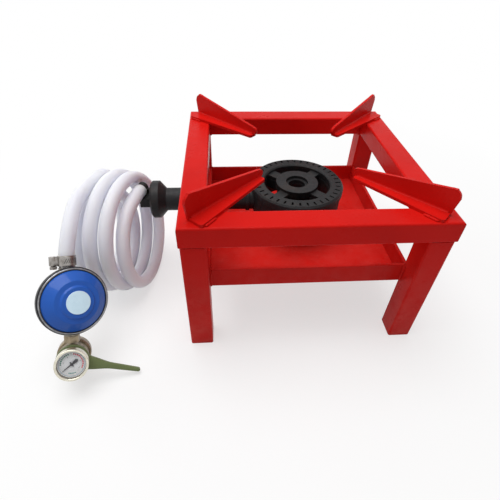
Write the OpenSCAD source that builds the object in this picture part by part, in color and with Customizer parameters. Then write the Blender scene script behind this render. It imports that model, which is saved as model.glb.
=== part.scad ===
// Single gas ring on a welded square-tube stand, with its hose, regulator, gauge and valve adaptor.
// Millimetres, +Z up. The origin lies on the floor, under the middle of the stand with its inlet.
// The stand's own pieces are placed about the middle of the stand and then moved by stand_x.

/* [Stand] */
// Width of the top frame, left to right
stand_w = 250; // [220:1:300]
// Depth of the top frame, front to back
stand_d = 250; // [220:1:300]
// Height of the top frame's upper face
stand_h = 162; // [156:1:200]
// Width of the top frame's tube, seen from above
rail_w = 25; // [24:0.5:30]
// Height of the top frame's tube
rail_h = 22; // [18:0.5:24]
// Wall of the frame and leg tubes
tube_wall = 2; // [1.2:0.1:3]
// Outer corner radius of the tubes
tube_r = 2; // [1:0.1:3]
// Side of the square leg tube
leg_w = 24; // [20:0.5:26]
// Step from the frame's outer face in to the leg's
leg_inset = 1; // [0.4:0.1:3]
// Thickness of the plates that close the feet
foot_t = 2; // [1:0.1:4]

/* [Tray] */
// Height of the tray's underside above the floor
tray_z = 70; // [66:1:72]
// Height of the tray's edge bars
bar_h = 22; // [14:0.5:24]
// Thickness of the tray's edge bars
bar_t = 3; // [2:0.1:5]
// Thickness of the tray's sheet
floor_t = 2; // [1:0.1:3]

/* [Pot supports] */
// Length of a support along its fold
support_len = 94; // [70:1:98]
// Distance of a support's outer end from the frame's two outer faces
support_in = 11; // [11:0.5:20]
// Thickness of the folded plate
support_t = 3; // [2:0.1:4]
// Width of the flat flange at the outer end
flange_w = 15; // [10:0.5:15]
// Width of the flat flange at the tip
flange_tip = 6; // [5:0.5:9]
// Height of the fin near its outer end
fin_h = 26; // [16:0.5:36]
// Height of the fin at the tip
fin_tip = 11; // [8:0.5:14]

/* [Burner] */
// Diameter of the burner head
head_d = 105; // [96:1:110]
// Height of the burner's upper face above the floor
head_z = 130; // [129:0.5:133]
// Diameter inside the ring of flames
ring_in_d = 75; // [70:1:78]
// Diameter of the middle boss
hub_d = 48; // [40:1:54]
// Diameter of the hole in the boss
hub_bore = 19; // [12:0.5:22]
// Diameter of the step round that hole
hub_step_d = 25; // [24:0.5:30]
// Width of the four spokes
spoke_w = 12; // [8:0.5:16]
// Thickness of the lift-off ring
cap_t = 8; // [6:0.5:9]
// Number of flame ports round the ring
port_n = 36; // [24:1:44]
// Width of a flame port
port_w = 2; // [1:0.1:2.4]
// Wall of the casting
cast_wall = 4; // [3:0.1:5]
// Number of feet under the burner
foot_n = 3; // [3:1:3]

/* [Inlet] */
// Outer diameter of the inlet tube
inlet_d = 26; // [24:0.5:27]
// Bore of the inlet tube
inlet_bore = 20; // [14:0.5:21]
// Reach of the inlet's mouth from the middle of the stand
inlet_reach = 166.5; // [160:0.5:175]
// Diameter of the mouth's rim
mouth_d = 42.5; // [38:0.5:44]
// Length of the rim's straight band
mouth_band = 9.5; // [6:0.5:12]
// Length of the cone behind the band
mouth_cone = 7.5; // [5:0.5:12]
// Width of the bar across the mouth
spider_w = 6; // [5:0.5:8]
// Diameter of the bar's middle, which holds the jet
spider_boss = 13; // [11:0.5:15]
// Thread diameter of the jet
jet_d = 8; // [6:0.5:8]

/* [Hose] */
// Outer diameter of the hose
hose_d = 14.8; // [13:0.1:14.8]
// Radius of the coil's turns, to the middle of the hose
coil_r = 64.5; // [64:0.1:65]
// Distance from turn to turn
coil_pitch = 16.1; // [16.1:0.1:16.6]

/* [Regulator] */
// Diameter of the regulator's flanges
reg_d = 62; // [60:0.5:64]
// Thickness of each flange
reg_flange = 1.8; // [1.2:0.1:2.4]
// Thickness of the rubber diaphragm
diaphragm_t = 1.2; // [0.8:0.1:2]
// Wall of the crimped ring
crimp_t = 1.7; // [1:0.1:2]
// Height of the spring cap above its flange
cap_h = 11.6; // [9:0.1:14]
// Depth of the lower housing below its flange
bowl_h = 17.6; // [16.5:0.1:20]
// Wall of the housings
reg_wall = 2.4; // [1.6:0.1:3]
// Diameter of the inlet and outlet bosses
boss_d = 14.5; // [13:0.5:15]

/* [Gauge] */
// Diameter of the gauge's case
gauge_d = 30; // [30:0.5:34]
// Height of the case
gauge_h = 10; // [8:0.5:12]
// Thickness of the bezel's lip
bezel_t = 1.2; // [0.8:0.1:1.6]

/* [Adaptor and lever] */
// Distance from the regulator's middle to the adaptor's
adaptor_y = 58; // [58:0.5:64]
// Diameter of the adaptor's neck, which the lever turns on
neck_d = 24; // [20:0.5:25]
// Diameter of the adaptor's barrel
barrel_d = 28; // [26.5:0.5:29]
// Diameter of the adaptor's skirt
skirt_d = 32; // [31:0.5:34]
// Height of the adaptor from its foot to its neck's top
adaptor_h = 32; // [31.5:0.5:38]
// Height of the skirt
skirt_h = 11; // [8:0.5:13]
// Bore that takes the cylinder's valve
socket_d = 22; // [20:0.5:24]
// Depth of that bore
socket_depth = 12.5; // [8:0.5:13]
// Length of the lever from its axis
lever_len = 65; // [50:1:68]
// Thickness of the lever
lever_t = 4; // [3:0.1:5]
// Width of the lever's arm at the root
lever_root = 15; // [10:0.5:16]
// Width of the lever's tip
lever_tip = 4; // [3:0.5:6]

/* [Hidden] */
$fn = 48;
eps = 0.01;

// Frame
rail_z = stand_h - rail_h;
leg_x = stand_w / 2 - leg_inset - leg_w;
leg_y = stand_d / 2 - leg_inset - leg_w;
tray_top = tray_z + floor_t;

// Pot supports
fold_x = stand_w / 2 - support_in;
fold_y = stand_d / 2 - support_in;
fold_r = 2;
tip_r = 2.4;
flange_r = 3;
flange_slope = (flange_w - flange_tip) / (support_len - tip_r - flange_r);
weld_leg = 3;
weld_start = 4;
weld_run = 14;

// Burner: the hollow ring, its feet and the inlet tube below it
ring_in = ring_in_d / 2;
ring_out = head_d / 2;
cap_gap = 0.3;
ring_seat_z = head_z - cap_t - cap_gap;
inlet_z = head_z - 21.7;
ring_floor_z = inlet_z - inlet_d / 2 - 1;
body_out = ring_out - 1.5;
ring_mid = (ring_in + body_out) / 2;
port_rim = 3.1;
port_in = 2.3;
port_h = 1.6;
spoke_drop = 4;
spigot_h = 3;
spigot_gap = 0.3;
foot_r = 6;
bolt_d = 6;
bolt_hole = 6.2;
bolt_in = 14;
bolt_head_d = 11;
bolt_head_h = 4;

// Inlet mouth and the holder of the jet
mouth_r = mouth_d / 2;
mouth_bore = mouth_d - 8;
chamfer = 2;
spider_t = 6;
holder_t = 13.5;
holder_gap = 0;
holder_w = 13;
holder_low = 6.5;
holder_x = -inlet_reach - holder_t;
holder_gap_y = 1.4;
holder_post = 3.7;
saddle_gap = 0.3;
hose_boss_d = 12;
hose_boss_len = 8;

// Coil: its turns lean back and to the left, and the last one is smaller. The first turn starts over the
// second, which is smaller where it passes under it
coil_turns = 4;
coil_off = 44.9;
coil_x = -inlet_reach - coil_off;
coil_y = -10;
coil_first = 0.25;
coil_last_r = 55.5;
coil_shrink_from = 3;
coil_shrink_over = 1.25;
coil_last_in = 4;
coil_in_from = 3.9;
coil_in_over = 0.3;
coil_under = 9.5;
coil_over = 16;
coil_over_run = 0.32;
lean_y = 0.188;
lean_z = -0.055;
coil_rings = 24;
coil_sides = 6;

// Hose clamp on the lead
band_t = 0.9;
band_gap = 0.15;
band_w = 10;
screw_box = [9, 8, 9];
screw_d = 7;
screw_head = 3;

// Regulator, in its own frame: Y towards the hose, Z out of the spring cap
reg_off = 19.1;
reg_x = coil_x - reg_off;
reg_y = -122.8;
reg_yaw = 1.5;
reg_tilt = 52;
reg_roll = 38;
reg_r = reg_d / 2;
flange_z = diaphragm_t / 2;
crimp_in = reg_r - 1;
crimp_lip = 1.5;
dome_r = crimp_in - 0.3;
plate_r = 17;
plate_t = 1.2;
disc_r = 11;
disc_t = 0.6;
cap_top_r = 17;
cap_step = 2;
bowl_bottom_r = 22;
boss_z = -flange_z - reg_flange - crimp_lip - boss_d / 2 - 0.4;
boss_end = reg_r + 4;
outlet_end = dome_r + 0.4;
collar_len = 1.3;
band_clear = 0.5;
band_start = reg_r + crimp_t + band_clear;
spring_r = 11;
spring_wire = 1.6;

// Adaptor, turned about the inlet pipe; it stands on the edge of its skirt
pipe_d = 10;
pipe_in = 3;
pipe_gap = 0.05;
nut_flat = 13;
nut_start = 0.5;
nut_clear = 0.6;
nut_turn = 22;
neck_h = 4.8;
neck_run = 0.05;
lever_z = -neck_h + 0.3;
lever_ring = 3.2;
nut_len = adaptor_y - boss_end - nut_start - neck_d / 2 - lever_ring - nut_clear;
lever_turn = -18;
skirt_low = -adaptor_h;
barrel_low = skirt_low + skirt_h;
barrel_top = -neck_h;
ring_t = 2;
ring_wall = 2;
seal_t = 2;
seal_step = 1.5;
gas_bore = 5;
rise_y = sin(reg_tilt);
rise_z = cos(reg_tilt) * cos(reg_roll);
turned_x = cos(reg_tilt) * sin(reg_roll - nut_turn);
turned_z = cos(reg_tilt) * cos(reg_roll - nut_turn);
reg_z = adaptor_y * rise_y - boss_z * (rise_z - turned_z) + adaptor_h * turned_z
        + skirt_d / 2 * sqrt(rise_y * rise_y + turned_x * turned_x);
reg_pos = [reg_x, reg_y, reg_z];

// Gauge
stem_d = 10;
gauge_z = 2.5;
gauge_r = gauge_d / 2;
gauge_wall = 1.4;
dial_t = 0.5;
dial_z = gauge_z + gauge_h - 4;
needle_len = gauge_r - 4.5;
needle_tail = 5;
needle_t = 0.5;
needle_z = dial_z + dial_t + 0.5;
pivot_d = 1.6;
glass_t = 0.9;
needle_zero = 215;

// Route of the hose from the regulator's outlet to the coil, about the middle of the stand
lead_sides = 12;
lead_out = 12.5;
lead_rise = [-25.2, -71.3, 120.5];
lead_crown = [-23.9, -47.4, 131.6];
lead_straight = 5;

function ease(t) = let(c = min(max(t, 0), 1)) c * c * (3 - 2 * c);
function unit(v) = v / norm(v);

// Middle of the hose at u turns along the coil
function turn_r(u) =
    coil_r - (coil_r - coil_last_r) * ease((u - coil_shrink_from) / coil_shrink_over)
    - coil_under * ease((u - 0.4) / 0.5) * (1 - ease((u - 1.35) / 0.6));
function coil_point(u) =
    let(r = turn_r(u), back = -r * cos(360 * u), up = r * sin(360 * u))
    [coil_x + (u - 2) * coil_pitch + coil_over * (1 - ease((u - coil_first) / coil_over_run))
         - coil_last_in * ease((u - coil_in_from) / coil_in_over)
         + coil_r / r * (lean_y * back + lean_z * up),
     coil_y + back,
     r + hose_d / 2 + up];
function coil_dir(u) = unit(coil_point(u + 0.002) - coil_point(u - 0.002));

coil_last = coil_first + coil_turns;
coil_start = coil_point(coil_first) - hose_d * coil_dir(coil_first);
coil_end = coil_point(coil_last) + hose_d * coil_dir(coil_last);
coil_path = concat([coil_start],
                   [for (i = [0 : coil_rings * coil_turns]) coil_point(coil_first + i / coil_rings)],
                   [coil_end]);

function reg_place(p) =
    let(q = [p[0] * cos(reg_roll) + p[2] * sin(reg_roll), p[1], -p[0] * sin(reg_roll) + p[2] * cos(reg_roll)],
        s = [q[0], q[1] * cos(reg_tilt) - q[2] * sin(reg_tilt), q[1] * sin(reg_tilt) + q[2] * cos(reg_tilt)])
    reg_pos + [s[0] * cos(reg_yaw) - s[1] * sin(reg_yaw), s[0] * sin(reg_yaw) + s[1] * cos(reg_yaw), s[2]];

lead_start = reg_place([0, outlet_end + collar_len, boss_z]);
lead_heading = reg_place([0, 1, 0]) - reg_place([0, 0, 0]);
lead_points = [lead_start,
               lead_start + lead_out * lead_heading,
               [coil_x, 0, 0] + lead_rise,
               [coil_x, 0, 0] + lead_crown,
               coil_start - lead_straight * coil_dir(coil_first),
               coil_start];

// The route is smoothed through all its points but the first and the last, which set the ends' directions
function curve(p, n) =
    [for (i = [1 : len(p) - 3])
         for (k = [0 : n - 1])
             let(t = k / n, a = p[i - 1], b = p[i], c = p[i + 1], d = p[i + 2])
             0.5 * (2 * b + t * (c - a) + t * t * (2 * a - 5 * b + 4 * c - d) + t * t * t * (-a + 3 * b - 3 * c + d))];
lead_path = concat([lead_start], curve(lead_points, 3), [coil_start - lead_straight * coil_dir(coil_first), coil_start]);

// The stand is moved so that the origin lies under the middle of everything but the hose and what is on it
holder_left = coil_end[0] - hose_boss_d / 2 * coil_dir(coil_last)[1];
stand_x = -(holder_left + stand_w / 2) / 2;

// A round tube along points; every ring is square to the path
function path_dir(path, i) =
    i == 0 ? unit(path[1] - path[0])
    : i == len(path) - 1 ? unit(path[i] - path[i - 1])
    : unit(unit(path[i + 1] - path[i]) + unit(path[i] - path[i - 1]));
function carried(side, dir) = unit(side - (side * dir) * dir);
function sides_along(path, i = 0, side = [1, 0, 0]) =
    i == len(path) ? []
    : let(s = carried(side, path_dir(path, i))) concat([s], sides_along(path, i + 1, s));

module tube_along(path, r, sides) {
    side = sides_along(path);
    points = [for (i = [0 : len(path) - 1])
                  let(a = side[i], b = cross(path_dir(path, i), a))
                  for (k = [0 : sides - 1])
                      path[i] + r * (cos(360 * k / sides) * a + sin(360 * k / sides) * b)];
    last = (len(path) - 1) * sides;
    faces = concat(
        [for (i = [0 : len(path) - 2]) for (k = [0 : sides - 1])
             [i * sides + k, (i + 1) * sides + k, i * sides + (k + 1) % sides]],
        [for (i = [0 : len(path) - 2]) for (k = [0 : sides - 1])
             [(i + 1) * sides + k, (i + 1) * sides + (k + 1) % sides, i * sides + (k + 1) % sides]],
        [for (k = [1 : sides - 2]) [0, k, k + 1]],
        [for (k = [1 : sides - 2]) [last, last + k + 1, last + k]]);
    polyhedron(points, faces, convexity = 10);
}

// Least gap between one turn and the next
gap_steps = 240;
turn_gaps = [for (i = [0 : gap_steps * (coil_turns - 1) / coil_turns])
                 for (k = [-6 : 6])
                     norm(coil_point(coil_first + i * coil_turns / gap_steps)
                          - coil_point(coil_first + 1 + (i + k / 4) * coil_turns / gap_steps)) - hose_d];
lead_gaps = [for (q = curve(lead_points, 8))
                 for (k = [gap_steps / 2 : gap_steps])
                     norm(q - coil_point(coil_first + 1.5 * k / gap_steps)) - hose_d];
echo(least_coil_gap = min(turn_gaps), least_lead_gap = min(lead_gaps), stand_x = stand_x);

module placed() {
    translate([stand_x, 0, 0]) children();
}

module at_regulator() {
    translate(reg_pos) rotate([0, 0, reg_yaw]) rotate([reg_tilt, 0, 0]) rotate([0, reg_roll, 0]) children();
}

module at_adaptor() {
    at_regulator()
        translate([0, -adaptor_y, boss_z]) rotate([0, -nut_turn, 0]) translate([0, 0, -boss_z]) children();
}

// ---------------------------------------------------------------- frame

module round_box(w, h, r) {
    translate([r, 0]) square([w - 2 * r, h]);
    translate([0, r]) square([w, h - 2 * r]);
    for (x = [r, w - r])
        for (y = [r, h - r])
            translate([x, y]) circle(r, $fn = 24);
}

module tube_section(w, h) {
    difference() {
        round_box(w, h, tube_r);
        translate([tube_wall, tube_wall]) square([w - 2 * tube_wall, h - 2 * tube_wall]);
    }
}

// A rail along X with mitred ends; its outer face is at y = 0
module rail(length) {
    color("crimson")
        intersection() {
            translate([-length / 2, 0, rail_z]) rotate([90, 0, 90]) linear_extrude(length) tube_section(rail_w, rail_h);
            translate([0, 0, rail_z - 1])
                linear_extrude(rail_h + 2)
                    polygon([[-length / 2, 0], [length / 2, 0], [length / 2 - rail_w, rail_w], [-length / 2 + rail_w, rail_w]]);
        }
}

module rail_front() { translate([0, -stand_d / 2, 0]) rail(stand_w); }
module rail_rear() { rotate([0, 0, 180]) translate([0, -stand_d / 2, 0]) rail(stand_w); }
module rail_left() { rotate([0, 0, -90]) translate([0, -stand_w / 2, 0]) rail(stand_d); }
module rail_right() { rotate([0, 0, 90]) translate([0, -stand_w / 2, 0]) rail(stand_d); }

module leg(side_x, side_y) {
    color("firebrick")
        translate([side_x > 0 ? leg_x : -leg_x - leg_w, side_y > 0 ? leg_y : -leg_y - leg_w, foot_t])
            linear_extrude(rail_z - foot_t) tube_section(leg_w, leg_w);
}

module foot_plates() {
    color("firebrick")
        for (side_x = [-1, 1])
            for (side_y = [-1, 1])
                translate([side_x > 0 ? leg_x : -leg_x - leg_w, side_y > 0 ? leg_y : -leg_y - leg_w, 0])
                    linear_extrude(foot_t) round_box(leg_w, leg_w, tube_r);
}

// Fillet welds in the step between each leg and the frame, on the two outer faces
module leg_welds() {
    bead = leg_inset;
    run = leg_w - 2 * tube_r;
    color("firebrick")
        for (side_x = [0, 1])
            for (side_y = [0, 1])
                mirror([side_x, 0, 0]) mirror([0, side_y, 0]) {
                    translate([-leg_x - leg_w + tube_r, -leg_y - leg_w, rail_z])
                        rotate([90, 0, 90]) linear_extrude(run) polygon([[0, 0], [0, -bead], [-bead, 0]]);
                    translate([-leg_x - leg_w, -leg_y - tube_r, rail_z])
                        rotate([90, 0, 0]) linear_extrude(run) polygon([[0, 0], [0, -bead], [-bead, 0]]);
                    translate([-leg_x, -leg_y - tube_r, rail_z])
                        rotate([90, 0, 0]) linear_extrude(run - 2) polygon([[0, 0], [0, -weld_leg], [weld_leg, 0]]);
                }
}

// ---------------------------------------------------------------- tray

module tray_bar(length, offset) {
    color("firebrick") translate([-length / 2, -offset - bar_t, tray_z]) cube([length, bar_t, bar_h]);
}

module tray_bar_front() { tray_bar(2 * leg_x, leg_y); }
module tray_bar_rear() { rotate([0, 0, 180]) tray_bar(2 * leg_x, leg_y); }
module tray_bar_left() { rotate([0, 0, -90]) tray_bar(2 * leg_y, leg_x); }
module tray_bar_right() { rotate([0, 0, 90]) tray_bar(2 * leg_y, leg_x); }

module tray_floor() {
    color("firebrick")
        difference() {
            translate([-leg_x, -leg_y, tray_z]) cube([2 * leg_x, 2 * leg_y, floor_t]);
            at_feet() translate([0, 0, tray_z - 1]) cylinder(d = bolt_hole, h = floor_t + 2);
        }
}

// Upright fillets where each bar ends on a leg, outside the tray
module tray_welds() {
    color("firebrick")
        for (side_x = [0, 1])
            for (side_y = [0, 1])
                mirror([side_x, 0, 0]) mirror([0, side_y, 0]) {
                    translate([-leg_x, -leg_y - bar_t, tray_z])
                        linear_extrude(bar_h) polygon([[0, 0], [weld_leg, 0], [0, -weld_leg]]);
                    translate([-leg_x - bar_t, -leg_y, tray_z])
                        linear_extrude(bar_h) polygon([[0, 0], [0, weld_leg], [-weld_leg, 0]]);
                }
}

// ---------------------------------------------------------------- pot supports

// Outline of the flat flange, from the fold outwards; x runs from the outer end to the tip
module flange_outline() {
    r = flange_r;
    difference() {
        union() {
            polygon([[0, 0], [0, -flange_w + r], [r, -flange_w], [support_len - tip_r, -flange_tip],
                     [support_len, -flange_tip + tip_r], [support_len, 0]]);
            translate([r, -flange_w + r]) circle(r);
            translate([support_len - tip_r, -flange_tip + tip_r]) circle(tip_r);
        }
        translate([-20, -flange_w - 10]) square([20, flange_w + 20]);
    }
}

// Outline of the upright fin; y is the height above the frame
module fin_outline() {
    r = 8;
    lean = 3;
    beyond = 20;
    difference() {
        union() {
            polygon([[0, 0], [-lean, fin_h - r], [r * 0.3, fin_h], [support_len - tip_r, fin_tip],
                     [support_len + tip_r, fin_tip - 2 * tip_r], [support_len, 0]]);
            translate([r - lean, fin_h - r]) circle(r - 0.4);
            translate([support_len - tip_r / 2, fin_tip - 2 * tip_r]) circle(2 * tip_r - 0.5);
        }
        translate([-beyond, -beyond]) square([support_len + 2 * beyond, beyond]);
    }
}

// A support on the left at the front; the others are turned or mirrored copies
module pot_support() {
    color("red")
        translate([-fold_x, -fold_y, stand_h])
            rotate([0, 0, 45]) {
                linear_extrude(support_t) flange_outline();
                translate([0, support_t, 0]) rotate([90, 0, 0]) linear_extrude(support_t) fin_outline();
                translate([2, -fold_r, support_t])
                    rotate([90, 0, 90]) linear_extrude(support_len - 4)
                        difference() {
                            square(fold_r);
                            translate([0, fold_r]) circle(fold_r);
                        }
            }
}

module pot_support_front_left() { pot_support(); }
module pot_support_front_right() { mirror([1, 0, 0]) pot_support(); }
module rear_support() {
    color("red")
        translate([-fold_x, fold_y, stand_h])
            rotate([0, 0, -45]) {
                linear_extrude(support_t) flange_outline();
                translate([0, support_t, 0]) rotate([90, 0, 0]) linear_extrude(support_t) fin_outline();
                translate([2, -fold_r, support_t])
                    rotate([90, 0, 90]) linear_extrude(support_len - 4)
                        difference() {
                            square(fold_r);
                            translate([0, fold_r]) circle(fold_r);
                        }
            }
}
module pot_support_rear_left() { rear_support(); }
module pot_support_rear_right() { mirror([1, 0, 0]) rear_support(); }

// Fillets along each flange's edge and fin where they lie on the frame
module support_weld(turn) {
    rotate([0, 0, turn]) {
        translate([weld_start, -flange_w + (weld_start - flange_r) * flange_slope - eps, 0])
            rotate([0, 0, atan(flange_slope)])
                rotate([90, 0, 90]) linear_extrude(weld_run) polygon([[-weld_leg, 0], [0, 0], [0, support_t - 0.5]]);
        translate([0, support_t, 0])
            rotate([90, 0, 90]) linear_extrude(weld_run) polygon([[0, 0], [weld_leg, 0], [0, weld_leg]]);
    }
}

module support_welds() {
    color("red")
        for (side_x = [0, 1])
            mirror([side_x, 0, 0]) {
                translate([-fold_x, -fold_y, stand_h]) support_weld(45);
                translate([-fold_x, fold_y, stand_h]) support_weld(-45);
            }
}

// ---------------------------------------------------------------- burner

module at_feet() {
    for (i = [0 : foot_n - 1])
        rotate([0, 0, 90 + 360 * i / foot_n]) translate([ring_mid, 0, 0]) children();
}

module spokes(from, to, reach) {
    for (turn = [45, 135])
        rotate([0, 0, turn]) translate([-reach, -spoke_w / 2, from]) cube([2 * reach, spoke_w, to - from]);
}

module along_inlet() {
    translate([0, 0, inlet_z]) rotate([0, -90, 0]) children();
}

// The casting: hollow ring, spokes, boss, feet, inlet tube and mouth
module burner_body() {
    neck_end = inlet_reach - mouth_band - mouth_cone;
    color("dimgray")
        difference() {
            union() {
                rotate_extrude()
                    polygon([[ring_in, ring_floor_z + 3], [ring_in + 3, ring_floor_z], [body_out - 3, ring_floor_z],
                             [body_out, ring_floor_z + 3], [body_out, ring_seat_z], [ring_in, ring_seat_z]]);
                difference() {
                    spokes(ring_seat_z - 12, ring_seat_z, ring_in + 1);
                    translate([0, 0, ring_seat_z - 13]) cylinder(d = hub_bore, h = 14);
                }
                translate([0, 0, ring_seat_z - 12]) cylinder(d = hub_d - 4, h = 12);
                at_feet() translate([0, 0, tray_top]) cylinder(r = foot_r, h = ring_floor_z - tray_top + 1);
                along_inlet() {
                    translate([0, 0, ring_mid]) cylinder(d = inlet_d, h = neck_end - ring_mid + eps);
                    translate([0, 0, body_out + 4]) cylinder(d = inlet_d + 3, h = 4);
                    rotate_extrude()
                        polygon([[0, neck_end], [inlet_d / 2, neck_end], [mouth_r, inlet_reach - mouth_band],
                                 [mouth_r, inlet_reach - chamfer], [mouth_r - chamfer, inlet_reach], [0, inlet_reach]]);
                }
            }
            // gas way in the ring
            rotate_extrude()
                translate([ring_in + cast_wall, ring_floor_z + cast_wall])
                    square([body_out - ring_in - 2 * cast_wall, ring_seat_z - ring_floor_z]);
            // inlet bore and the flare of the mouth
            along_inlet() {
                translate([0, 0, ring_mid]) cylinder(d = inlet_bore, h = neck_end - ring_mid + 5);
                difference() {
                    rotate_extrude()
                        polygon([[0, neck_end], [inlet_bore / 2, neck_end], [mouth_bore / 2, inlet_reach - 5],
                                 [mouth_bore / 2, inlet_reach + 1], [0, inlet_reach + 1]]);
                    translate([-mouth_r, -spider_w / 2, inlet_reach - spider_t]) cube([2 * mouth_r, spider_w, spider_t]);
                    translate([0, 0, inlet_reach - spider_t]) cylinder(d = spider_boss, h = spider_t);
                }
                translate([0, 0, inlet_reach - spider_t - 1]) cylinder(d = jet_d + 2 * pipe_gap, h = spider_t + 2);
            }
            // middle hole and the threads in the feet
            translate([0, 0, ring_seat_z - 13]) cylinder(d = hub_bore, h = 14);
            at_feet() translate([0, 0, tray_top - 1]) cylinder(d = bolt_hole, h = bolt_in + 1);
        }
}

// The loose ring on top: flame ports in its upper face, lower spokes, and a spigot inside the casting
module burner_ring() {
    seat = ring_seat_z + cap_gap;
    color("dimgray")
        difference() {
            union() {
                rotate_extrude()
                    polygon([[ring_in, seat], [ring_out, seat], [ring_out, head_z - 2], [ring_out - 2, head_z],
                             [ring_in + 1.5, head_z], [ring_in, head_z - 1.5]]);
                rotate_extrude()
                    translate([ring_in + cast_wall + spigot_gap, seat - spigot_h])
                        square([body_out - ring_in - 2 * (cast_wall + spigot_gap), spigot_h + eps]);
                spokes(seat, head_z - spoke_drop, ring_in + 1);
                translate([0, 0, seat]) cylinder(d = hub_d, h = head_z - seat - 0.5);
            }
            translate([0, 0, seat - 1]) cylinder(d = hub_bore, h = cap_t + 2);
            translate([0, 0, head_z - 4]) cylinder(d = hub_step_d, h = 5);
            for (i = [0 : port_n - 1])
                rotate([0, 0, 360 * (i + 0.5) / port_n]) {
                    translate([ring_in + cast_wall + port_in, -port_w / 2, head_z - port_h])
                        cube([ring_out - port_rim - ring_in - cast_wall - port_in, port_w, port_h + 1]);
                    translate([ring_in + cast_wall + port_in + port_w / 2, 0, seat - spigot_h - 1])
                        cylinder(d = port_w, h = cap_t + spigot_h + 2, $fn = 16);
                }
        }
}

module burner_bolts() {
    color("silver")
        at_feet() {
            translate([0, 0, tray_z - bolt_head_h]) cylinder(d = bolt_head_d, h = bolt_head_h, $fn = 6);
            translate([0, 0, tray_z - eps]) cylinder(d = bolt_d, h = floor_t + bolt_in - 2);
        }
}

// The block at the mouth turns the gas from the hose's direction into the jet's
module jet_holder() {
    heading = coil_dir(coil_last);
    turn = atan2(heading[1], heading[0]);
    post_x = coil_end[0] - hose_boss_d / 2 + 1;
    post_y = coil_end[1] + holder_gap_y;
    color("dimgray")
        difference() {
            union() {
                translate([holder_x, -holder_low, inlet_z - holder_w / 2])
                    cube([holder_t, holder_low + post_y + holder_post, holder_w - 2]);
                translate([post_x, post_y, inlet_z - holder_w / 2])
                    cube([-inlet_reach - post_x, holder_post, coil_end[2] - inlet_z + holder_w / 2]);
                translate(coil_end)
                    rotate([0, 0, turn]) rotate([0, 90, 0]) cylinder(d = hose_boss_d, h = hose_boss_len);
            }
            along_inlet() translate([0, 0, inlet_reach - 1]) cylinder(d = jet_d + 2 * pipe_gap, h = 9);
            // saddle under the hose's straight end
            translate(coil_end)
                rotate([0, 0, turn]) rotate([0, -90, 0]) cylinder(d = hose_d + 2 * saddle_gap, h = hose_d + 4);
        }
}

module gas_jet() {
    tip = inlet_reach - 20;
    color("goldenrod")
        along_inlet()
            difference() {
                union() {
                    translate([0, 0, inlet_reach - spider_t]) cylinder(d = jet_d, h = spider_t + 7.5);
                    translate([0, 0, inlet_reach - spider_t - 6]) cylinder(d = jet_d + 3, h = 6, $fn = 6);
                    translate([0, 0, tip]) cylinder(d1 = 4, d2 = 7, h = inlet_reach - spider_t - 6 - tip + eps);
                }
                translate([0, 0, tip - 1]) cylinder(d = 1.2, h = 20);
            }
}

// ---------------------------------------------------------------- hose

module hose_coil() {
    color("white") tube_along(coil_path, hose_d / 2, coil_sides);
}

module hose_lead() {
    color("white")
        tube_along(lead_path, hose_d / 2, lead_sides);
}

module clamp_band() {
    color("silver")
        at_regulator()
            translate([0, band_start, boss_z])
                rotate([-90, 0, 0])
                    difference() {
                        union() {
                            cylinder(d = hose_d + 2 * (band_gap + band_t), h = band_w);
                            translate([-hose_d / 2 - screw_box[0] + 1, -1, 0.5]) cube(screw_box);
                        }
                        translate([0, 0, -1]) cylinder(d = hose_d + 2 * band_gap, h = band_w + 2);
                        translate([-hose_d / 2 - screw_box[0] / 2 + 0.5, 3, -1]) cylinder(d = 5, h = band_w + 2);
                    }
}

module clamp_screw() {
    color("gray")
        at_regulator()
            translate([-hose_d / 2 - screw_box[0] / 2 + 0.5, band_start, boss_z - 3])
                rotate([-90, 0, 0]) {
                    translate([0, 0, -screw_head]) cylinder(d = screw_d, h = screw_head, $fn = 6);
                    translate([0, 0, -eps]) cylinder(d = 4.9, h = band_w);
                }
}

// ---------------------------------------------------------------- regulator

module regulator_bowl() {
    top = -flange_z;
    low = top - reg_flange - bowl_h;
    color("darkgray")
        at_regulator()
            difference() {
                union() {
                    rotate_extrude()
                        polygon([[0, low], [bowl_bottom_r, low], [dome_r, low + 10], [dome_r, top - reg_flange],
                                 [reg_r, top - reg_flange], [reg_r, top], [0, top]]);
                    translate([0, 0, boss_z])
                        rotate([90, 0, 0]) translate([0, 0, -outlet_end]) cylinder(d = boss_d, h = outlet_end + boss_end);
                }
                rotate_extrude()
                    polygon([[0, low + reg_wall], [bowl_bottom_r - reg_wall, low + reg_wall],
                             [dome_r - reg_wall, low + 10 + reg_wall / 2], [dome_r - reg_wall, top + 1], [0, top + 1]]);
                translate([0, 0, boss_z])
                    rotate([90, 0, 0]) translate([0, 0, -boss_end - 1]) cylinder(d = gas_bore, h = 2 * boss_end + 2);
            }
}

module regulator_cap() {
    low = flange_z;
    top = low + reg_flange + cap_h;
    step = top - cap_step;
    color("royalblue")
        at_regulator()
            difference() {
                rotate_extrude()
                    polygon([[0, low], [reg_r, low], [reg_r, low + reg_flange], [dome_r, low + reg_flange],
                             [dome_r - 1, low + reg_flange + 2], [cap_top_r + 1.5, step], [cap_top_r, step],
                             [cap_top_r - 1, top], [0, top]]);
                rotate_extrude()
                    polygon([[0, low - 1], [dome_r - reg_wall, low - 1], [dome_r - reg_wall, low + reg_flange],
                             [cap_top_r - reg_wall, step - reg_wall], [0, step - reg_wall]]);
            }
}

// Rolled steel ring that clamps the flanges and the diaphragm
module crimp_ring() {
    half = flange_z + reg_flange;
    color("dimgray")
        at_regulator()
            rotate_extrude()
                polygon([[crimp_in, half], [reg_r, half], [reg_r, -half], [crimp_in, -half],
                         [crimp_in, -half - crimp_lip], [reg_r + crimp_t - 1, -half - crimp_lip],
                         [reg_r + crimp_t, -half - crimp_lip + 1], [reg_r + crimp_t, half + crimp_lip - 1],
                         [reg_r + crimp_t - 1, half + crimp_lip], [crimp_in, half + crimp_lip]]);
}

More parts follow.
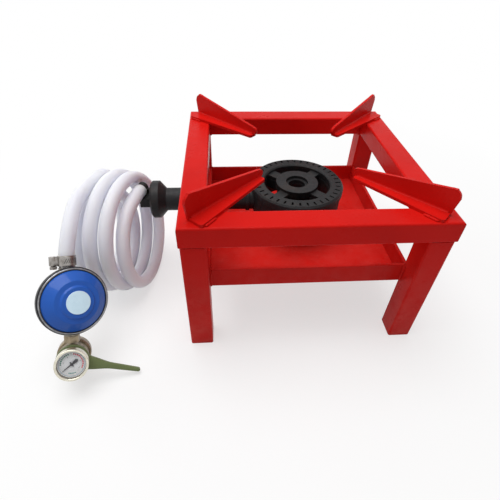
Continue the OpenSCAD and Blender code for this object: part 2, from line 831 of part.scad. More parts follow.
module diaphragm() {
    color("black") at_regulator() translate([0, 0, -flange_z]) cylinder(d = reg_d, h = diaphragm_t);
}

module diaphragm_plate() {
    color("silver") at_regulator() translate([0, 0, flange_z]) cylinder(r = plate_r, h = plate_t);
}

// Loading spring between the plate and the cap, drawn as its envelope
module regulator_spring() {
    low = flange_z + plate_t;
    high = flange_z + reg_flange + cap_h - cap_step - reg_wall;
    color("silver")
        at_regulator()
            translate([0, 0, low])
                difference() {
                    cylinder(r = spring_r, h = high - low);
                    translate([0, 0, -1]) cylinder(r = spring_r - spring_wire, h = high - low + 2);
                }
}

module cap_disc() {
    color("lightcyan")
        at_regulator() translate([0, 0, flange_z + reg_flange + cap_h]) cylinder(r = disc_r, h = disc_t);
}

module outlet_collar() {
    color("tan")
        at_regulator()
            translate([0, outlet_end, boss_z]) rotate([-90, 0, 0])
                difference() {
                    cylinder(d = boss_d + 1, h = collar_len);
                    translate([0, 0, -1]) cylinder(d = gas_bore, h = collar_len + 2);
                }
}

module inlet_pipe() {
    color("tan")
        at_regulator()
            translate([0, -boss_end, boss_z]) rotate([90, 0, 0])
                difference() {
                    cylinder(d = pipe_d, h = adaptor_y - boss_end - barrel_d / 2 + pipe_in);
                    translate([0, 0, -1]) cylinder(d = gas_bore, h = adaptor_y);
                }
}

module inlet_nut() {
    color("tan")
        at_regulator()
            translate([0, -boss_end - nut_start, boss_z]) rotate([90, 0, 0])
                difference() {
                    cylinder(d = nut_flat / cos(30), h = nut_len, $fn = 6);
                    translate([0, 0, -1]) cylinder(d = pipe_d + 2 * pipe_gap, h = nut_len + 2);
                }
}

// ---------------------------------------------------------------- adaptor and lever

module adaptor_body() {
    color("tan")
        at_adaptor()
            difference() {
                rotate_extrude()
                    polygon([[0, skirt_low], [skirt_d / 2, skirt_low], [skirt_d / 2, barrel_low - 1],
                             [skirt_d / 2 - 1, barrel_low], [barrel_d / 2, barrel_low], [barrel_d / 2, barrel_top],
                             [neck_d / 2, barrel_top], [neck_d / 2, 0], [0, 0]]);
                translate([0, 0, skirt_low - 1]) cylinder(d = socket_d, h = socket_depth - seal_t + 1);
                translate([0, 0, skirt_low]) cylinder(d = socket_d - 2 * seal_step, h = socket_depth);
                translate([0, 0, skirt_low - 1]) cylinder(d = socket_d + 2 * ring_wall, h = ring_t + 1);
                translate([0, 0, skirt_low]) cylinder(d = gas_bore, h = boss_z - skirt_low);
                translate([0, 0, boss_z]) rotate([-90, 0, 0]) cylinder(d = gas_bore, h = barrel_d);
                translate([0, barrel_d / 2 - pipe_in, boss_z])
                    rotate([-90, 0, 0]) cylinder(d = pipe_d + 2 * pipe_gap, h = barrel_d);
            }
}

module socket_ring() {
    color("goldenrod")
        at_adaptor()
            translate([0, 0, skirt_low])
                difference() {
                    cylinder(d = socket_d + 2 * ring_wall, h = ring_t);
                    translate([0, 0, -1]) cylinder(d = socket_d, h = ring_t + 2);
                }
}

module socket_seal() {
    color("black")
        at_adaptor()
            translate([0, 0, skirt_low + socket_depth - seal_t])
                difference() {
                    cylinder(d = socket_d - 2 * seal_step, h = seal_t);
                    translate([0, 0, -1]) cylinder(d = socket_d - 2 * seal_step - 8, h = seal_t + 2);
                }
}

module lever() {
    ring_d = neck_d + 2 * lever_ring;
    tip_x = lever_len - lever_tip / 2;
    tip_y = lever_tip / 2 - 0.1;
    color("olivedrab")
        at_adaptor()
            translate([0, 0, lever_z])
                linear_extrude(lever_t)
                    difference() {
                        union() {
                            circle(d = ring_d);
                            rotate(lever_turn) {
                                polygon([[0, lever_root / 2], [tip_x, tip_y], [tip_x, -tip_y], [0, -lever_root / 2]]);
                                translate([tip_x, 0]) circle(d = lever_tip, $fn = 24);
                            }
                        }
                        circle(d = neck_d + 2 * neck_run);
                    }
}

// ---------------------------------------------------------------- gauge

module gauge_stem() {
    color("tan") at_adaptor() cylinder(d = stem_d, h = gauge_z);
}

module gauge_case() {
    color("silver")
        at_adaptor()
            translate([0, 0, gauge_z])
                difference() {
                    cylinder(r = gauge_r - 0.8, h = gauge_h);
                    translate([0, 0, dial_z - gauge_z]) cylinder(r = gauge_r - 0.8 - gauge_wall, h = gauge_h);
                }
}

module gauge_dial() {
    color("white")
        at_adaptor() translate([0, 0, dial_z]) {
            cylinder(r = gauge_r - 0.8 - gauge_wall, h = dial_t);
            cylinder(d = pivot_d, h = needle_z + needle_t - dial_z + 0.4);
        }
}

module gauge_needle() {
    color("black")
        at_adaptor()
            translate([0, 0, needle_z])
                rotate([0, 0, needle_zero])
                    difference() {
                        linear_extrude(needle_t) {
                            circle(d = 4, $fn = 24);
                            polygon([[needle_len, 0.3], [-needle_tail, 1.5], [-needle_tail, -1.5], [needle_len, -0.3]]);
                        }
                        translate([0, 0, -1]) cylinder(d = pivot_d + 0.1, h = needle_t + 2);
                    }
}

module gauge_glass() {
    color("lightblue")
        at_adaptor()
            translate([0, 0, gauge_z + gauge_h - glass_t]) cylinder(r = gauge_r - 0.8 - gauge_wall, h = glass_t);
}

module gauge_bezel() {
    color("silver")
        at_adaptor()
            rotate_extrude()
                polygon([[gauge_r - 0.8, gauge_z + 3], [gauge_r, gauge_z + 3], [gauge_r, gauge_z + gauge_h + bezel_t - 0.5],
                         [gauge_r - 0.5, gauge_z + gauge_h + bezel_t], [gauge_r - 2.6, gauge_z + gauge_h + bezel_t],
                         [gauge_r - 3, gauge_z + gauge_h], [gauge_r - 0.8, gauge_z + gauge_h]]);
}

// ---------------------------------------------------------------- all pieces

placed() rail_front();
placed() rail_rear();
placed() rail_left();
placed() rail_right();
placed() leg(-1, -1);  // leg_front_left
placed() leg(1, -1);  // leg_front_right
placed() leg(-1, 1);  // leg_rear_left
placed() leg(1, 1);  // leg_rear_right
placed() foot_plates();
placed() tray_bar_front();
placed() tray_bar_rear();
placed() tray_bar_left();
placed() tray_bar_right();
placed() tray_floor();
placed() pot_support_front_left();
placed() pot_support_front_right();
placed() pot_support_rear_left();
placed() pot_support_rear_right();
placed() leg_welds();
placed() tray_welds();
placed() support_welds();
placed() burner_body();
placed() burner_ring();
placed() burner_bolts();
placed() jet_holder();
placed() gas_jet();
placed() hose_coil();
placed() hose_lead();
placed() clamp_band();
placed() clamp_screw();
placed() regulator_bowl();
placed() regulator_cap();
placed() crimp_ring();
placed() diaphragm();
placed() diaphragm_plate();
placed() regulator_spring();
placed() cap_disc();
placed() outlet_collar();
placed() inlet_pipe();
placed() inlet_nut();
placed() adaptor_body();
placed() socket_ring();
placed() socket_seal();
placed() lever();
placed() gauge_stem();
placed() gauge_case();
placed() gauge_dial();
placed() gauge_needle();
placed() gauge_glass();
placed() gauge_bezel();
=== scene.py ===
"""Single gas ring on a welded square-tube stand, with its hose, regulator, gauge and valve adaptor.

Lengths in the classes of pieces are millimetres, and each mesh is turned into metres when it is put in the
scene. Lengths in the finishes, the lamps and the room are metres.
"""

import logging
import math
from dataclasses import dataclass, field
from enum import Enum, IntEnum
from typing import Optional, Sequence

import bmesh
import bpy
from mathutils import Matrix, Vector, noise


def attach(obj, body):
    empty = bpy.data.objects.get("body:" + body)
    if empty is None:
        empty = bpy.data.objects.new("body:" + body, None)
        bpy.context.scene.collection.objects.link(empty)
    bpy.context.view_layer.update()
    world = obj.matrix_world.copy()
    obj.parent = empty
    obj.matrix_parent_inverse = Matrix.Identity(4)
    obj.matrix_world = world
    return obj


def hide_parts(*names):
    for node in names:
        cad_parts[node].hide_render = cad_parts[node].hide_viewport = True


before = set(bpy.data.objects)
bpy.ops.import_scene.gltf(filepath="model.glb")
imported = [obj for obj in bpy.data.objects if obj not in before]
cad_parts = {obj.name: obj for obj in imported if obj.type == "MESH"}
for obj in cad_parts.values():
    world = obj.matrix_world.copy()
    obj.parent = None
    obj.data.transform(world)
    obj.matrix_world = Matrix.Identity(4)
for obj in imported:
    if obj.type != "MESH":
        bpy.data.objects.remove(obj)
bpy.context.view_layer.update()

Rgb = tuple[float, float, float]
Point2 = tuple[float, float]
Socket = bpy.types.NodeSocket
Ring = Sequence[bmesh.types.BMVert]
Mesh = bmesh.types.BMesh
Material = bpy.types.Material
Thing = bpy.types.Object

MM = 0.001
STAND_X = 29.8681
SEED = 7.31
TINY = 1e-6
ROUND = 96
FINE_ROUND = 144
NEARLY_STRAIGHT, NEARLY_FOLDED = math.radians(87), math.radians(3)
SHARE_OF_SIDE = 0.48
NEARLY_ALONG = 0.95
X_WAY, Y_WAY, Z_WAY = Vector((1, 0, 0)), Vector((0, 1, 0)), Vector((0, 0, 1))

log = logging.getLogger("gas_ring")


class Body(Enum):
    """The bodies that pieces made here ride on."""

    STAND = "stand"
    LEVER = "lever_arm"
    NEEDLE = "needle"


class Ink(IntEnum):
    """The inks of the dial, by the index of their material."""

    BLACK = 1
    GREEN = 2
    RED = 3
    BLUE = 4
    TEAL = 5


# ---- nodes of a finish


class Board:
    """Places and joins the shader nodes of one finish."""

    def __init__(self, name: str) -> None:
        """Starts an empty material with its output and the piece's own coordinates.

        Args:
            name: The material's name.
        """
        self.material = bpy.data.materials.new(name)
        self.material.use_nodes = True
        self.tree = self.material.node_tree
        self.tree.nodes.clear()
        self.output = self.add("ShaderNodeOutputMaterial")
        self.coords: Socket = self.add("ShaderNodeTexCoord").outputs["Object"]

    def add(self, kind: str, **settings: object) -> bpy.types.Node:
        """Adds a node.

        Args:
            kind: Blender's name of the node type.
            **settings: Properties set on the node.

        Returns:
            The node.
        """
        node = self.tree.nodes.new(kind)
        for key, value in settings.items():
            setattr(node, key, value)
        return node

    def feed(self, socket: Socket, value: object) -> None:
        """Links a socket to another, or sets it to a plain value.

        Args:
            socket: The input.
            value: A socket to link, or the plain value.
        """
        if isinstance(value, bpy.types.NodeSocket):
            self.tree.links.new(value, socket)
        elif isinstance(value, tuple) and len(value) == 3 and socket.type == "RGBA":
            socket.default_value = (*value, 1.0)
        else:
            socket.default_value = value

    def step(self, kind: str, output: object, inputs: dict[object, object], **settings: object) -> Socket:
        """Adds a node and feeds it.

        Args:
            kind: Blender's name of the node type.
            output: Name or number of the output to return.
            inputs: Value or socket for each input, by its name or number.
            **settings: Properties set on the node.

        Returns:
            The output.
        """
        node = self.add(kind, **settings)
        for key, value in inputs.items():
            self.feed(node.inputs[key], value)
        return node.outputs[output]

    def noise(self, scale: float, detail: float = 3.0, rough: float = 0.55,
              at: Optional[Socket] = None) -> Socket:
        """Cloudy noise from 0 to 1; scale is in features per metre."""
        return self.step("ShaderNodeTexNoise", "Fac", {"Vector": at or self.coords, "Scale": scale,
                                                       "Detail": detail, "Roughness": rough})

    def span(self, value: Socket, low: float, high: float, to_low: float = 0.0,
             to_high: float = 1.0) -> Socket:
        """Maps low..high to to_low..to_high, clamped."""
        return self.step("ShaderNodeMapRange", "Result", {"Value": value, "From Min": low, "From Max": high,
                                                          "To Min": to_low, "To Max": to_high})

    def blend(self, amount: object, first: object, second: object) -> Socket:
        """Mixes two colours."""
        return self.step("ShaderNodeMix", 2, {0: amount, 6: first, 7: second}, data_type="RGBA")

    def calc(self, how: str, first: object, second: object = 0.0) -> Socket:
        """One step of arithmetic."""
        return self.step("ShaderNodeMath", 0, {0: first, 1: second}, operation=how)

    def stretched(self, scale: tuple[float, float, float]) -> Socket:
        """The piece's coordinates, stretched along its axes."""
        return self.step("ShaderNodeMapping", "Vector", {"Vector": self.coords, "Scale": scale})

    def rounded(self, radius: float) -> Optional[Socket]:
        """A normal that eases sharp edges over a radius in metres, or None where that is 0.

        Args:
            radius: Radius of the rounding.

        Returns:
            The normal, or None.
        """
        if radius <= 0.0:
            return None
        return self.step("ShaderNodeBevel", "Normal", {"Radius": radius}, samples=4)

    def bump(self, height: Socket, depth: float, over: Optional[Socket] = None) -> Socket:
        """Turns a height from 0 to 1 into a normal; depth is in metres.

        Args:
            height: The height.
            depth: What a height of 1 stands for.
            over: Normal that it is added to.

        Returns:
            The normal.
        """
        inputs = {"Distance": depth, "Height": height}
        if over is not None:
            inputs["Normal"] = over
        return self.step("ShaderNodeBump", "Normal", inputs)

    def finished(self, shader: Socket) -> Material:
        """Links the last shader to the output, and returns the material."""
        self.feed(self.output.inputs["Surface"], shader)
        return self.material

    def mixed(self, share: Socket, first: bpy.types.Node, second: bpy.types.Node) -> Material:
        """Ends the finish in two mixed shaders.

        Args:
            share: The second one's share.
            first: The first shader.
            second: The second shader.

        Returns:
            The finished material.
        """
        inputs = {0: share, 1: first.outputs[0], 2: second.outputs[0]}
        return self.finished(self.step("ShaderNodeMixShader", 0, inputs))

    def surface(self, **inputs: object) -> Material:
        """Ends the finish in one Principled shader.

        Args:
            **inputs: Its sockets, with underscores for spaces.

        Returns:
            The finished material.
        """
        named = {key.replace("_", " "): value for key, value in inputs.items()}
        return self.finished(self.step("ShaderNodeBsdfPrincipled", 0, named))


def dimmed(color: Rgb, share: float) -> Rgb:
    """A colour times a share."""
    return tuple(part * share for part in color)


@dataclass(frozen=True)
class Finish:
    """A surface finish. Each kind below builds its own nodes."""

    name: str
    slot: str
    color: Rgb

    def make(self) -> Material:
        """Builds the material, or returns the one that was built before."""
        return bpy.data.materials.get(self.name) or self.nodes(Board(self.name))

    def nodes(self, board: Board) -> Material:
        """Builds the nodes; each kind has its own."""
        raise NotImplementedError


@dataclass(frozen=True)
class Enamel(Finish):
    """Sprayed gloss enamel with orange peel, dust in the paint, and a duller, lighter lower part that is
    painted bounce light from the floor.
    """

    deep: Rgb = (0.4, 0.01, 0.01)
    # Colour of the dust specks in the paint, and of the painted floor bounce light low down.
    dust: Rgb = (0.8, 0.25, 0.2)
    roughness: float = 0.28
    shine: float = 0.25
    coat: float = 0.0
    peel: float = 0.00006
    edge: float = 0.0006
    # Height in metres up to which painted bounce light from the floor lightens the paint; none when below 0.
    dusty_below: float = -1.0

    def nodes(self, board: Board) -> Material:
        """Peel and specks of dust in the coat, and painted bounce light from the floor that lightens the paint
        lower down.

        Args:
            board: The empty finish.

        Returns:
            The finished material.
        """
        cloud = board.noise(16.0, 3.0, 0.5)
        tint = board.blend(board.span(cloud, 0.4, 0.75, 0.0, 0.6), self.color, self.deep)
        specks = board.noise(1300.0, 2.0, 0.7)
        amount = board.span(specks, 0.55, 0.8, 0.0, 0.22)
        # Painted light: towards the floor the paint is mixed with the lighter colour, standing in for light
        # bounced off the floor.
        if self.dusty_below > 0.0:
            height = board.step("ShaderNodeSeparateXYZ", "Z", {0: board.coords})
            low = board.span(height, 0.02, self.dusty_below, 1.0, 0.0)
            bounce_light = board.span(board.noise(70.0, 4.0, 0.65), 0.35, 0.75, 0.02, 0.16)
            bounce_light = board.calc("MULTIPLY", bounce_light, low)
            amount = board.calc("ADD", bounce_light, board.calc("MULTIPLY", amount, board.calc("ADD", low, 0.35)))
        tint = board.blend(amount, tint, self.dust)
        rough = board.span(board.noise(60.0, 3.0), 0.3, 0.7, self.roughness - 0.05, self.roughness + 0.09)
        height = board.calc("ADD", board.noise(380.0, 2.0, 0.5), board.calc("MULTIPLY", specks, 0.25))
        normal = board.bump(height, self.peel, board.rounded(self.edge))
        return board.surface(Base_Color=tint, Roughness=rough, Normal=normal, Specular_IOR_Level=self.shine,
                             Coat_Weight=self.coat, Coat_Roughness=0.06)


@dataclass(frozen=True)
class Casting(Finish):
    """Sand-cast iron under thin matt black paint."""

    rust: Rgb = (0.045, 0.028, 0.02)
    grain: float = 0.00028
    edge: float = 0.0011

    def nodes(self, board: Board) -> Material:
        """Two sizes of sand grain and faint brown patches.

        Args:
            board: The empty finish.

        Returns:
            The finished material.
        """
        sand = board.noise(900.0, 4.0, 0.65)
        lumps = board.noise(230.0, 3.0, 0.55)
        patch = board.span(board.noise(45.0, 5.0, 0.7), 0.52, 0.75, 0.0, 0.5)
        tint = board.blend(patch, self.color, self.rust)
        tint = board.blend(board.span(sand, 0.5, 0.78, 0.0, 0.45), tint, dimmed(self.color, 2.2))
        height = board.calc("ADD", board.calc("MULTIPLY", sand, 0.45), lumps)
        normal = board.bump(height, self.grain, board.rounded(self.edge))
        return board.surface(Base_Color=tint, Roughness=board.span(lumps, 0.3, 0.7, 0.4, 0.6),
                             Specular_IOR_Level=0.24, Normal=normal)


@dataclass(frozen=True)
class Metal(Finish):
    """Bare, plated or die-cast metal with fine marks."""

    roughness: float = 0.3
    marks: float = 0.00003
    stain: Rgb = (0.25, 0.2, 0.13)
    stained: float = 0.35
    edge: float = 0.0003

    def nodes(self, board: Board) -> Material:
        """Fine scratches, uneven polish and tarnish.

        Args:
            board: The empty finish.

        Returns:
            The finished material.
        """
        fine = board.noise(1.0, 3.0, 0.6, board.stretched((260.0, 2600.0, 900.0)))
        cloud = board.noise(150.0, 4.0, 0.65)
        tint = board.blend(board.span(cloud, 0.42, 0.75, 0.0, self.stained), self.color, self.stain)
        rough = board.calc("ADD", board.span(cloud, 0.3, 0.75, self.roughness - 0.06, self.roughness + 0.12),
                           board.calc("MULTIPLY", fine, 0.08))
        normal = board.bump(fine, self.marks, board.rounded(self.edge))
        return board.surface(Base_Color=tint, Metallic=1.0, Roughness=rough, Normal=normal)


@dataclass(frozen=True)
class HoseSkin(Finish):
    """Soft white hose with a faint lilac cast, a smooth extruded skin and a few scuffs."""

    shade: Rgb = (0.79, 0.80, 0.92)

    def nodes(self, board: Board) -> Material:
        """Cloudy colour, faint grime and shallow waviness from the extruder.

        Args:
            board: The empty finish.

        Returns:
            The finished material.
        """
        cloud = board.noise(22.0, 3.0, 0.5)
        tint = board.blend(board.span(cloud, 0.35, 0.75, 0.0, 0.4), self.color, self.shade)
        grime = board.span(board.noise(120.0, 5.0, 0.75), 0.66, 0.85, 0.0, 0.18)
        tint = board.blend(grime, tint, (0.56, 0.54, 0.58))
        return board.surface(Base_Color=tint, Roughness=board.span(cloud, 0.3, 0.7, 0.38, 0.5),
                             Specular_IOR_Level=0.3, Subsurface_Weight=0.85, Subsurface_Radius=(1.0, 1.0, 1.1),
                             Subsurface_Scale=0.014, Normal=board.bump(board.noise(150.0, 2.0), 0.00015))


@dataclass(frozen=True)
class Rubber(Finish):
    """Black rubber with a matt grain."""

    def nodes(self, board: Board) -> Material:
        """Fine grain and a grey bloom.

        Args:
            board: The empty finish.

        Returns:
            The finished material.
        """
        grain = board.noise(1400.0, 3.0)
        tint = board.blend(board.span(board.noise(150.0), 0.5, 0.8, 0.0, 0.4), self.color, (0.08, 0.08, 0.08))
        return board.surface(Base_Color=tint, Roughness=board.span(grain, 0.3, 0.7, 0.55, 0.75),
                             Normal=board.bump(grain, 0.00004))


@dataclass(frozen=True)
class Print(Finish):
    """Printed ink or card on the dial."""

    def nodes(self, board: Board) -> Material:
        """Slight unevenness of the ink.

        Args:
            board: The empty finish.

        Returns:
            The finished material.
        """
        fleck = board.noise(2600.0, 2.0)
        tint = board.blend(board.span(fleck, 0.5, 0.8, 0.0, 0.15), self.color, dimmed(self.color, 0.85))
        return board.surface(Base_Color=tint, Roughness=board.span(fleck, 0.3, 0.7, 0.4, 0.5))


@dataclass(frozen=True)
class Window(Finish):
    """Clear window: it lets the light through and mirrors a little at a low angle."""

    def nodes(self, board: Board) -> Material:
        """Clear and glossy parts mixed by the slant of the view, with faint smears.

        Args:
            board: The empty finish.

        Returns:
            The finished material.
        """
        clear = board.add("ShaderNodeBsdfTransparent")
        gloss = board.add("ShaderNodeBsdfGlossy")
        board.feed(gloss.inputs["Roughness"], board.span(board.noise(300.0), 0.3, 0.7, 0.02, 0.12))
        slant = board.add("ShaderNodeLayerWeight").outputs["Facing"]
        return board.mixed(board.span(slant, 0.45, 1.0, 0.02, 0.3), clear, gloss)


# The lowest 135 mm of the red paint is painted lighter as bounce light from the floor.
RED = Enamel("red_enamel", "red_paint", (0.67, 0.010, 0.007), deep=(0.53, 0.007, 0.005),
             dust=(0.72, 0.24, 0.20), roughness=0.3, shine=0.05, dusty_below=0.135)
BLACK_IRON = Casting("black_casting", "cast_iron", (0.010, 0.010, 0.011))
ZINC = Metal("zinc_plate", "zinc_steel", (0.58, 0.56, 0.53), roughness=0.32, stained=0.5)
BAND = Metal("band_steel", "zinc_steel", (0.38, 0.36, 0.34), roughness=0.26,
             stain=(0.10, 0.085, 0.07), stained=0.9)
BRASS = Metal("turned_brass", "brass", (0.70, 0.52, 0.24), roughness=0.26)
HOSE = HoseSkin("white_hose", "hose", (0.84, 0.85, 0.94))
BLUE = Enamel("blue_enamel", "blue_paint", (0.022, 0.125, 0.56), deep=(0.016, 0.095, 0.46),
              dust=(0.04, 0.16, 0.58), roughness=0.34, shine=0.12, coat=0.22, peel=0.00002, edge=0.0)
CRIMP = Metal("rolled_steel", "crimp_steel", (0.30, 0.30, 0.31), roughness=0.26,
              stain=(0.06, 0.06, 0.07), stained=0.8)
# Painted shade: near-black steel for the outer side of the rolled ring, where it lies in shade.
RIM_SHADE_STEEL = Metal("rim_shade_steel", "crimp_steel", (0.035, 0.035, 0.038), roughness=0.34,
                   stain=(0.015, 0.015, 0.015), stained=0.8)
SEAL = Rubber("black_rubber", "seal_rubber", (0.02, 0.02, 0.02))
PLATE = Metal("pale_plate", "plate_aluminium", (0.56, 0.71, 0.80), roughness=0.42,
              stain=(0.46, 0.62, 0.72), marks=0.00001)
DIE_CAST = Metal("die_casting", "die_cast_zinc", (0.40, 0.36, 0.30), roughness=0.38,
                 stain=(0.17, 0.14, 0.10), stained=0.8)
OLD_BRASS = Metal("old_brass", "die_cast_zinc", (0.32, 0.26, 0.18), roughness=0.32,
                  stain=(0.10, 0.075, 0.05), stained=0.9)
# Painted shade: near black for the clamp band's slots and the screw's slot.
SLOT_SHADE = Print("slot_shade", "zinc_steel", (0.03, 0.03, 0.03))
OLIVE = Enamel("olive_enamel", "olive_paint", (0.165, 0.205, 0.085), deep=(0.125, 0.155, 0.06),
               dust=(0.26, 0.31, 0.16), roughness=0.42, shine=0.25)
CHROME = Metal("dull_plate", "chrome", (0.74, 0.71, 0.60), roughness=0.26,
               stain=(0.40, 0.35, 0.25), stained=0.5)
DIAL = Print("dial_card", "dial", (0.93, 0.95, 0.97))
INK = Print("black_ink", "needle", (0.02, 0.02, 0.025))
GREEN_INK = Print("green_ink", "dial", (0.03, 0.22, 0.15))
RED_INK = Print("red_ink", "dial", (0.72, 0.04, 0.09))
BLUE_INK = Print("blue_ink", "dial", (0.30, 0.48, 0.66))
TEAL_INK = Print("teal_ink", "dial", (0.06, 0.30, 0.27))
GLASS = Window("clear_window", "window", (0.95, 0.97, 0.97))


# ---- mesh work


def spin(degrees: float, axis: str = "Z") -> Matrix:
    """A rotation about one axis."""
    return Matrix.Rotation(math.radians(degrees), 4, axis)


def on_circle(radius: float, angle: float) -> Point2:
    """A point of a circle; the angle is in radians."""
    return radius * math.cos(angle), radius * math.sin(angle)


def box(left: float, low: float, right: float, high: float) -> list[Point2]:
    """The corners of a rectangle."""
    return [(left, low), (right, low), (right, high), (left, high)]


def about_middle(width: float, height: float) -> list[Point2]:
    """The corners of a rectangle round the origin."""
    return box(-width / 2, -height / 2, width / 2, height / 2)


def band(mesh: Mesh, low: Ring, high: Ring) -> None:
    """Joins two rings of as many points by four-sided faces.

    Args:
        mesh: The mesh that holds both.
        low: The first ring.
        high: The second ring.
    """
    count = len(low)
    for i in range(count):
        k = (i + 1) % count
        mesh.faces.new((low[i], low[k], high[k], high[i]))


def outward(mesh: Mesh) -> Mesh:
    """Turns all faces outwards, and returns the mesh."""
    bmesh.ops.recalc_face_normals(mesh, faces=mesh.faces)
    return mesh


def put(name: str, data: bpy.types.ID) -> Thing:
    """Puts a new object in the scene.

    Args:
        name: The object's name.
        data: Its mesh, curve, lamp or camera.

    Returns:
        The object.
    """
    thing = bpy.data.objects.new(name, data)
    bpy.context.scene.collection.objects.link(thing)
    return thing


def turned(profile: Sequence[Point2], steps: int = ROUND) -> Mesh:
    """Turns an outline about Z.

    Args:
        profile: Points (radius, height) of a closed outline or one that starts and ends on the axis.
        steps: Number of steps round the axis.

    Returns:
        The closed mesh.
    """
    mesh = bmesh.new()
    on_axis = profile[0][0] < TINY and profile[-1][0] < TINY
    rings = []
    for radius, height in profile:
        if radius < TINY:
            rings.append([mesh.verts.new((0.0, 0.0, height))])
        else:
            rings.append([mesh.verts.new((*on_circle(radius, math.tau * i / steps), height))
                          for i in range(steps)])
    pairs = list(zip(rings, rings[1:])) + ([] if on_axis else [(rings[-1], rings[0])])
    for low, high in pairs:
        for i in range(steps):
            k = (i + 1) % steps
            corners = [low[i % len(low)], low[k % len(low)], high[k % len(high)], high[i % len(high)]]
            unique = list(dict.fromkeys(corners))
            if len(unique) > 2:
                mesh.faces.new(unique)
    return outward(mesh)


def eased(points: Sequence[Point2], radius: float, steps: int = 4, closed: bool = False) -> list[Point2]:
    """Rounds the corners of an outline.

    Args:
        points: The outline's corners.
        radius: Radius of the rounding, made smaller where a side is short.
        steps: Segments per corner.
        closed: True if the last corner joins the first.

    Returns:
        The rounded outline.
    """
    count = len(points)
    result: list[Point2] = []
    for i, here in enumerate(points):
        if not closed and i in (0, count - 1):
            result.append(here)
            continue
        p, q, r = Vector(points[i - 1]), Vector(here), Vector(points[(i + 1) % count])
        a, b = p - q, r - q
        if a.length < TINY or b.length < TINY:
            continue
        half = a.angle(b) / 2
        if half > NEARLY_STRAIGHT or half < NEARLY_FOLDED:
            result.append(here)
            continue
        reach = min(radius / math.tan(half), a.length * SHARE_OF_SIDE, b.length * SHARE_OF_SIDE)
        start, end = q + a.normalized() * reach, q + b.normalized() * reach
        for k in range(steps + 1):
            t = k / steps
            point = start * (1 - t) ** 2 + q * 2 * t * (1 - t) + end * t * t
            result.append((point.x, point.y))
    return result


def swept(path: Sequence[Vector], radii: Sequence[float], sides: int = 12) -> Mesh:
    """A round bar along a path, with its own radius at each point.

    Args:
        path: Points of the middle line.
        radii: Radius at each point.
        sides: Number of sides.

    Returns:
        The closed mesh.
    """
    mesh = bmesh.new()
    side = Z_WAY
    rings = []
    for i, point in enumerate(path):
        along = (path[min(i + 1, len(path) - 1)] - path[max(i - 1, 0)]).normalized()
        if abs(side.dot(along)) > NEARLY_ALONG:
            side = X_WAY
        side = (side - along * side.dot(along)).normalized()
        across = along.cross(side)
        ring = []
        for k in range(sides):
            x, y = on_circle(1.0, math.tau * k / sides)
            ring.append(mesh.verts.new(point + (side * x + across * y) * radii[i]))
        rings.append(ring)
    for low, high in zip(rings, rings[1:]):
        band(mesh, low, high)
    mesh.faces.new(rings[0])
    mesh.faces.new(rings[-1])
    return outward(mesh)


def slab(outline: Sequence[Point2], low: float, high: float, edge: float = 0.0, steps: int = 2) -> Mesh:
    """A flat plate with rounded edges.

    Args:
        outline: Corners of its face.
        low: Height of its underside.
        high: Height of its upper side.
        edge: Radius of its edges.
        steps: Segments of the rounding.

    Returns:
        The closed mesh.
    """
    mesh = bmesh.new()
    face = mesh.faces.new([mesh.verts.new((x, y, low)) for x, y in outline])
    grown = bmesh.ops.extrude_face_region(mesh, geom=[face])
    top = [v for v in grown["geom"] if isinstance(v, bmesh.types.BMVert)]
    bmesh.ops.translate(mesh, verts=top, vec=(0, 0, high - low))
    outward(mesh)
    if edge > 0:
        flat = [e for e in mesh.edges if abs(e.verts[0].co.z - e.verts[1].co.z) < TINY]
        bmesh.ops.bevel(mesh, geom=flat, offset=edge, segments=steps, profile=0.5, affect="EDGES",
                        clamp_overlap=True)
    return mesh


def stored(name: str, mesh: Mesh) -> bpy.types.Mesh:
    """Turns a mesh, which is freed, into an object's data.

    Args:
        name: The data's name.
        mesh: The mesh.

    Returns:
        The data.
    """
    data = bpy.data.meshes.new(name)
    mesh.to_mesh(data)
    mesh.free()
    return data


def merged(parts: Sequence[Mesh]) -> Mesh:
    """Puts several meshes into one.

    Args:
        parts: The meshes, which are freed.

    Returns:
        The whole.
    """
    whole = bmesh.new()
    for part in parts:
        data = stored("part", part)
        whole.from_mesh(data)
        bpy.data.meshes.remove(data)
    return whole


def moved(mesh: Mesh, place: Matrix) -> Mesh:
    """Moves a mesh by a matrix in millimetres, and returns it."""
    mesh.transform(place)
    return mesh


@dataclass
class Shop:
    """Puts finished pieces into the scene and dresses the frame's own nodes."""

    pieces: list[Thing] = field(default_factory=list)

    def add(self, name: str, stands_for: str, mesh: Mesh, finish: Finish,
            place: Matrix = Matrix.Identity(4), sharp: float = 35.0, body: Body = Body.STAND,
            also: Sequence[Finish] = ()) -> None:
        """Adds one piece.

        Args:
            name: The piece's name.
            stands_for: The node that it replaces, or an empty text.
            mesh: Its mesh in millimetres, which is freed.
            finish: Its finish.
            place: Where its own frame lies, in metres.
            body: The body that it rides on.
            sharp: Edges over this angle, in degrees, stay sharp.
            also: Finishes of the faces with a material index of 1 and up.
        """
        bmesh.ops.scale(mesh, verts=mesh.verts, vec=(MM, MM, MM))
        data = stored(name, mesh)
        data.shade_smooth()
        data.set_sharp_from_angle(angle=math.radians(sharp))
        piece = put(name, data)
        piece.matrix_world = place
        for coat in (finish, *also):
            data.materials.append(coat.make())
        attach(piece, body.value)
        if stands_for:
            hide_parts(stands_for)
        self.pieces.append(piece)
        log.info("made %s, %d faces", name, len(data.polygons))

    def dress(self, finish: Finish, *nodes: str) -> None:
        """Gives nodes of the frame their finish.

        Args:
            finish: The finish.
            *nodes: The nodes' names.
        """
        material = finish.make()
        for node in nodes:
            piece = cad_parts[node]
            if not piece.material_slots:
                piece.data.materials.append(material)
            for holder in piece.material_slots:
                holder.material = material
            self.pieces.append(piece)
            log.info("dressed %s", node)


# ---- camera and room


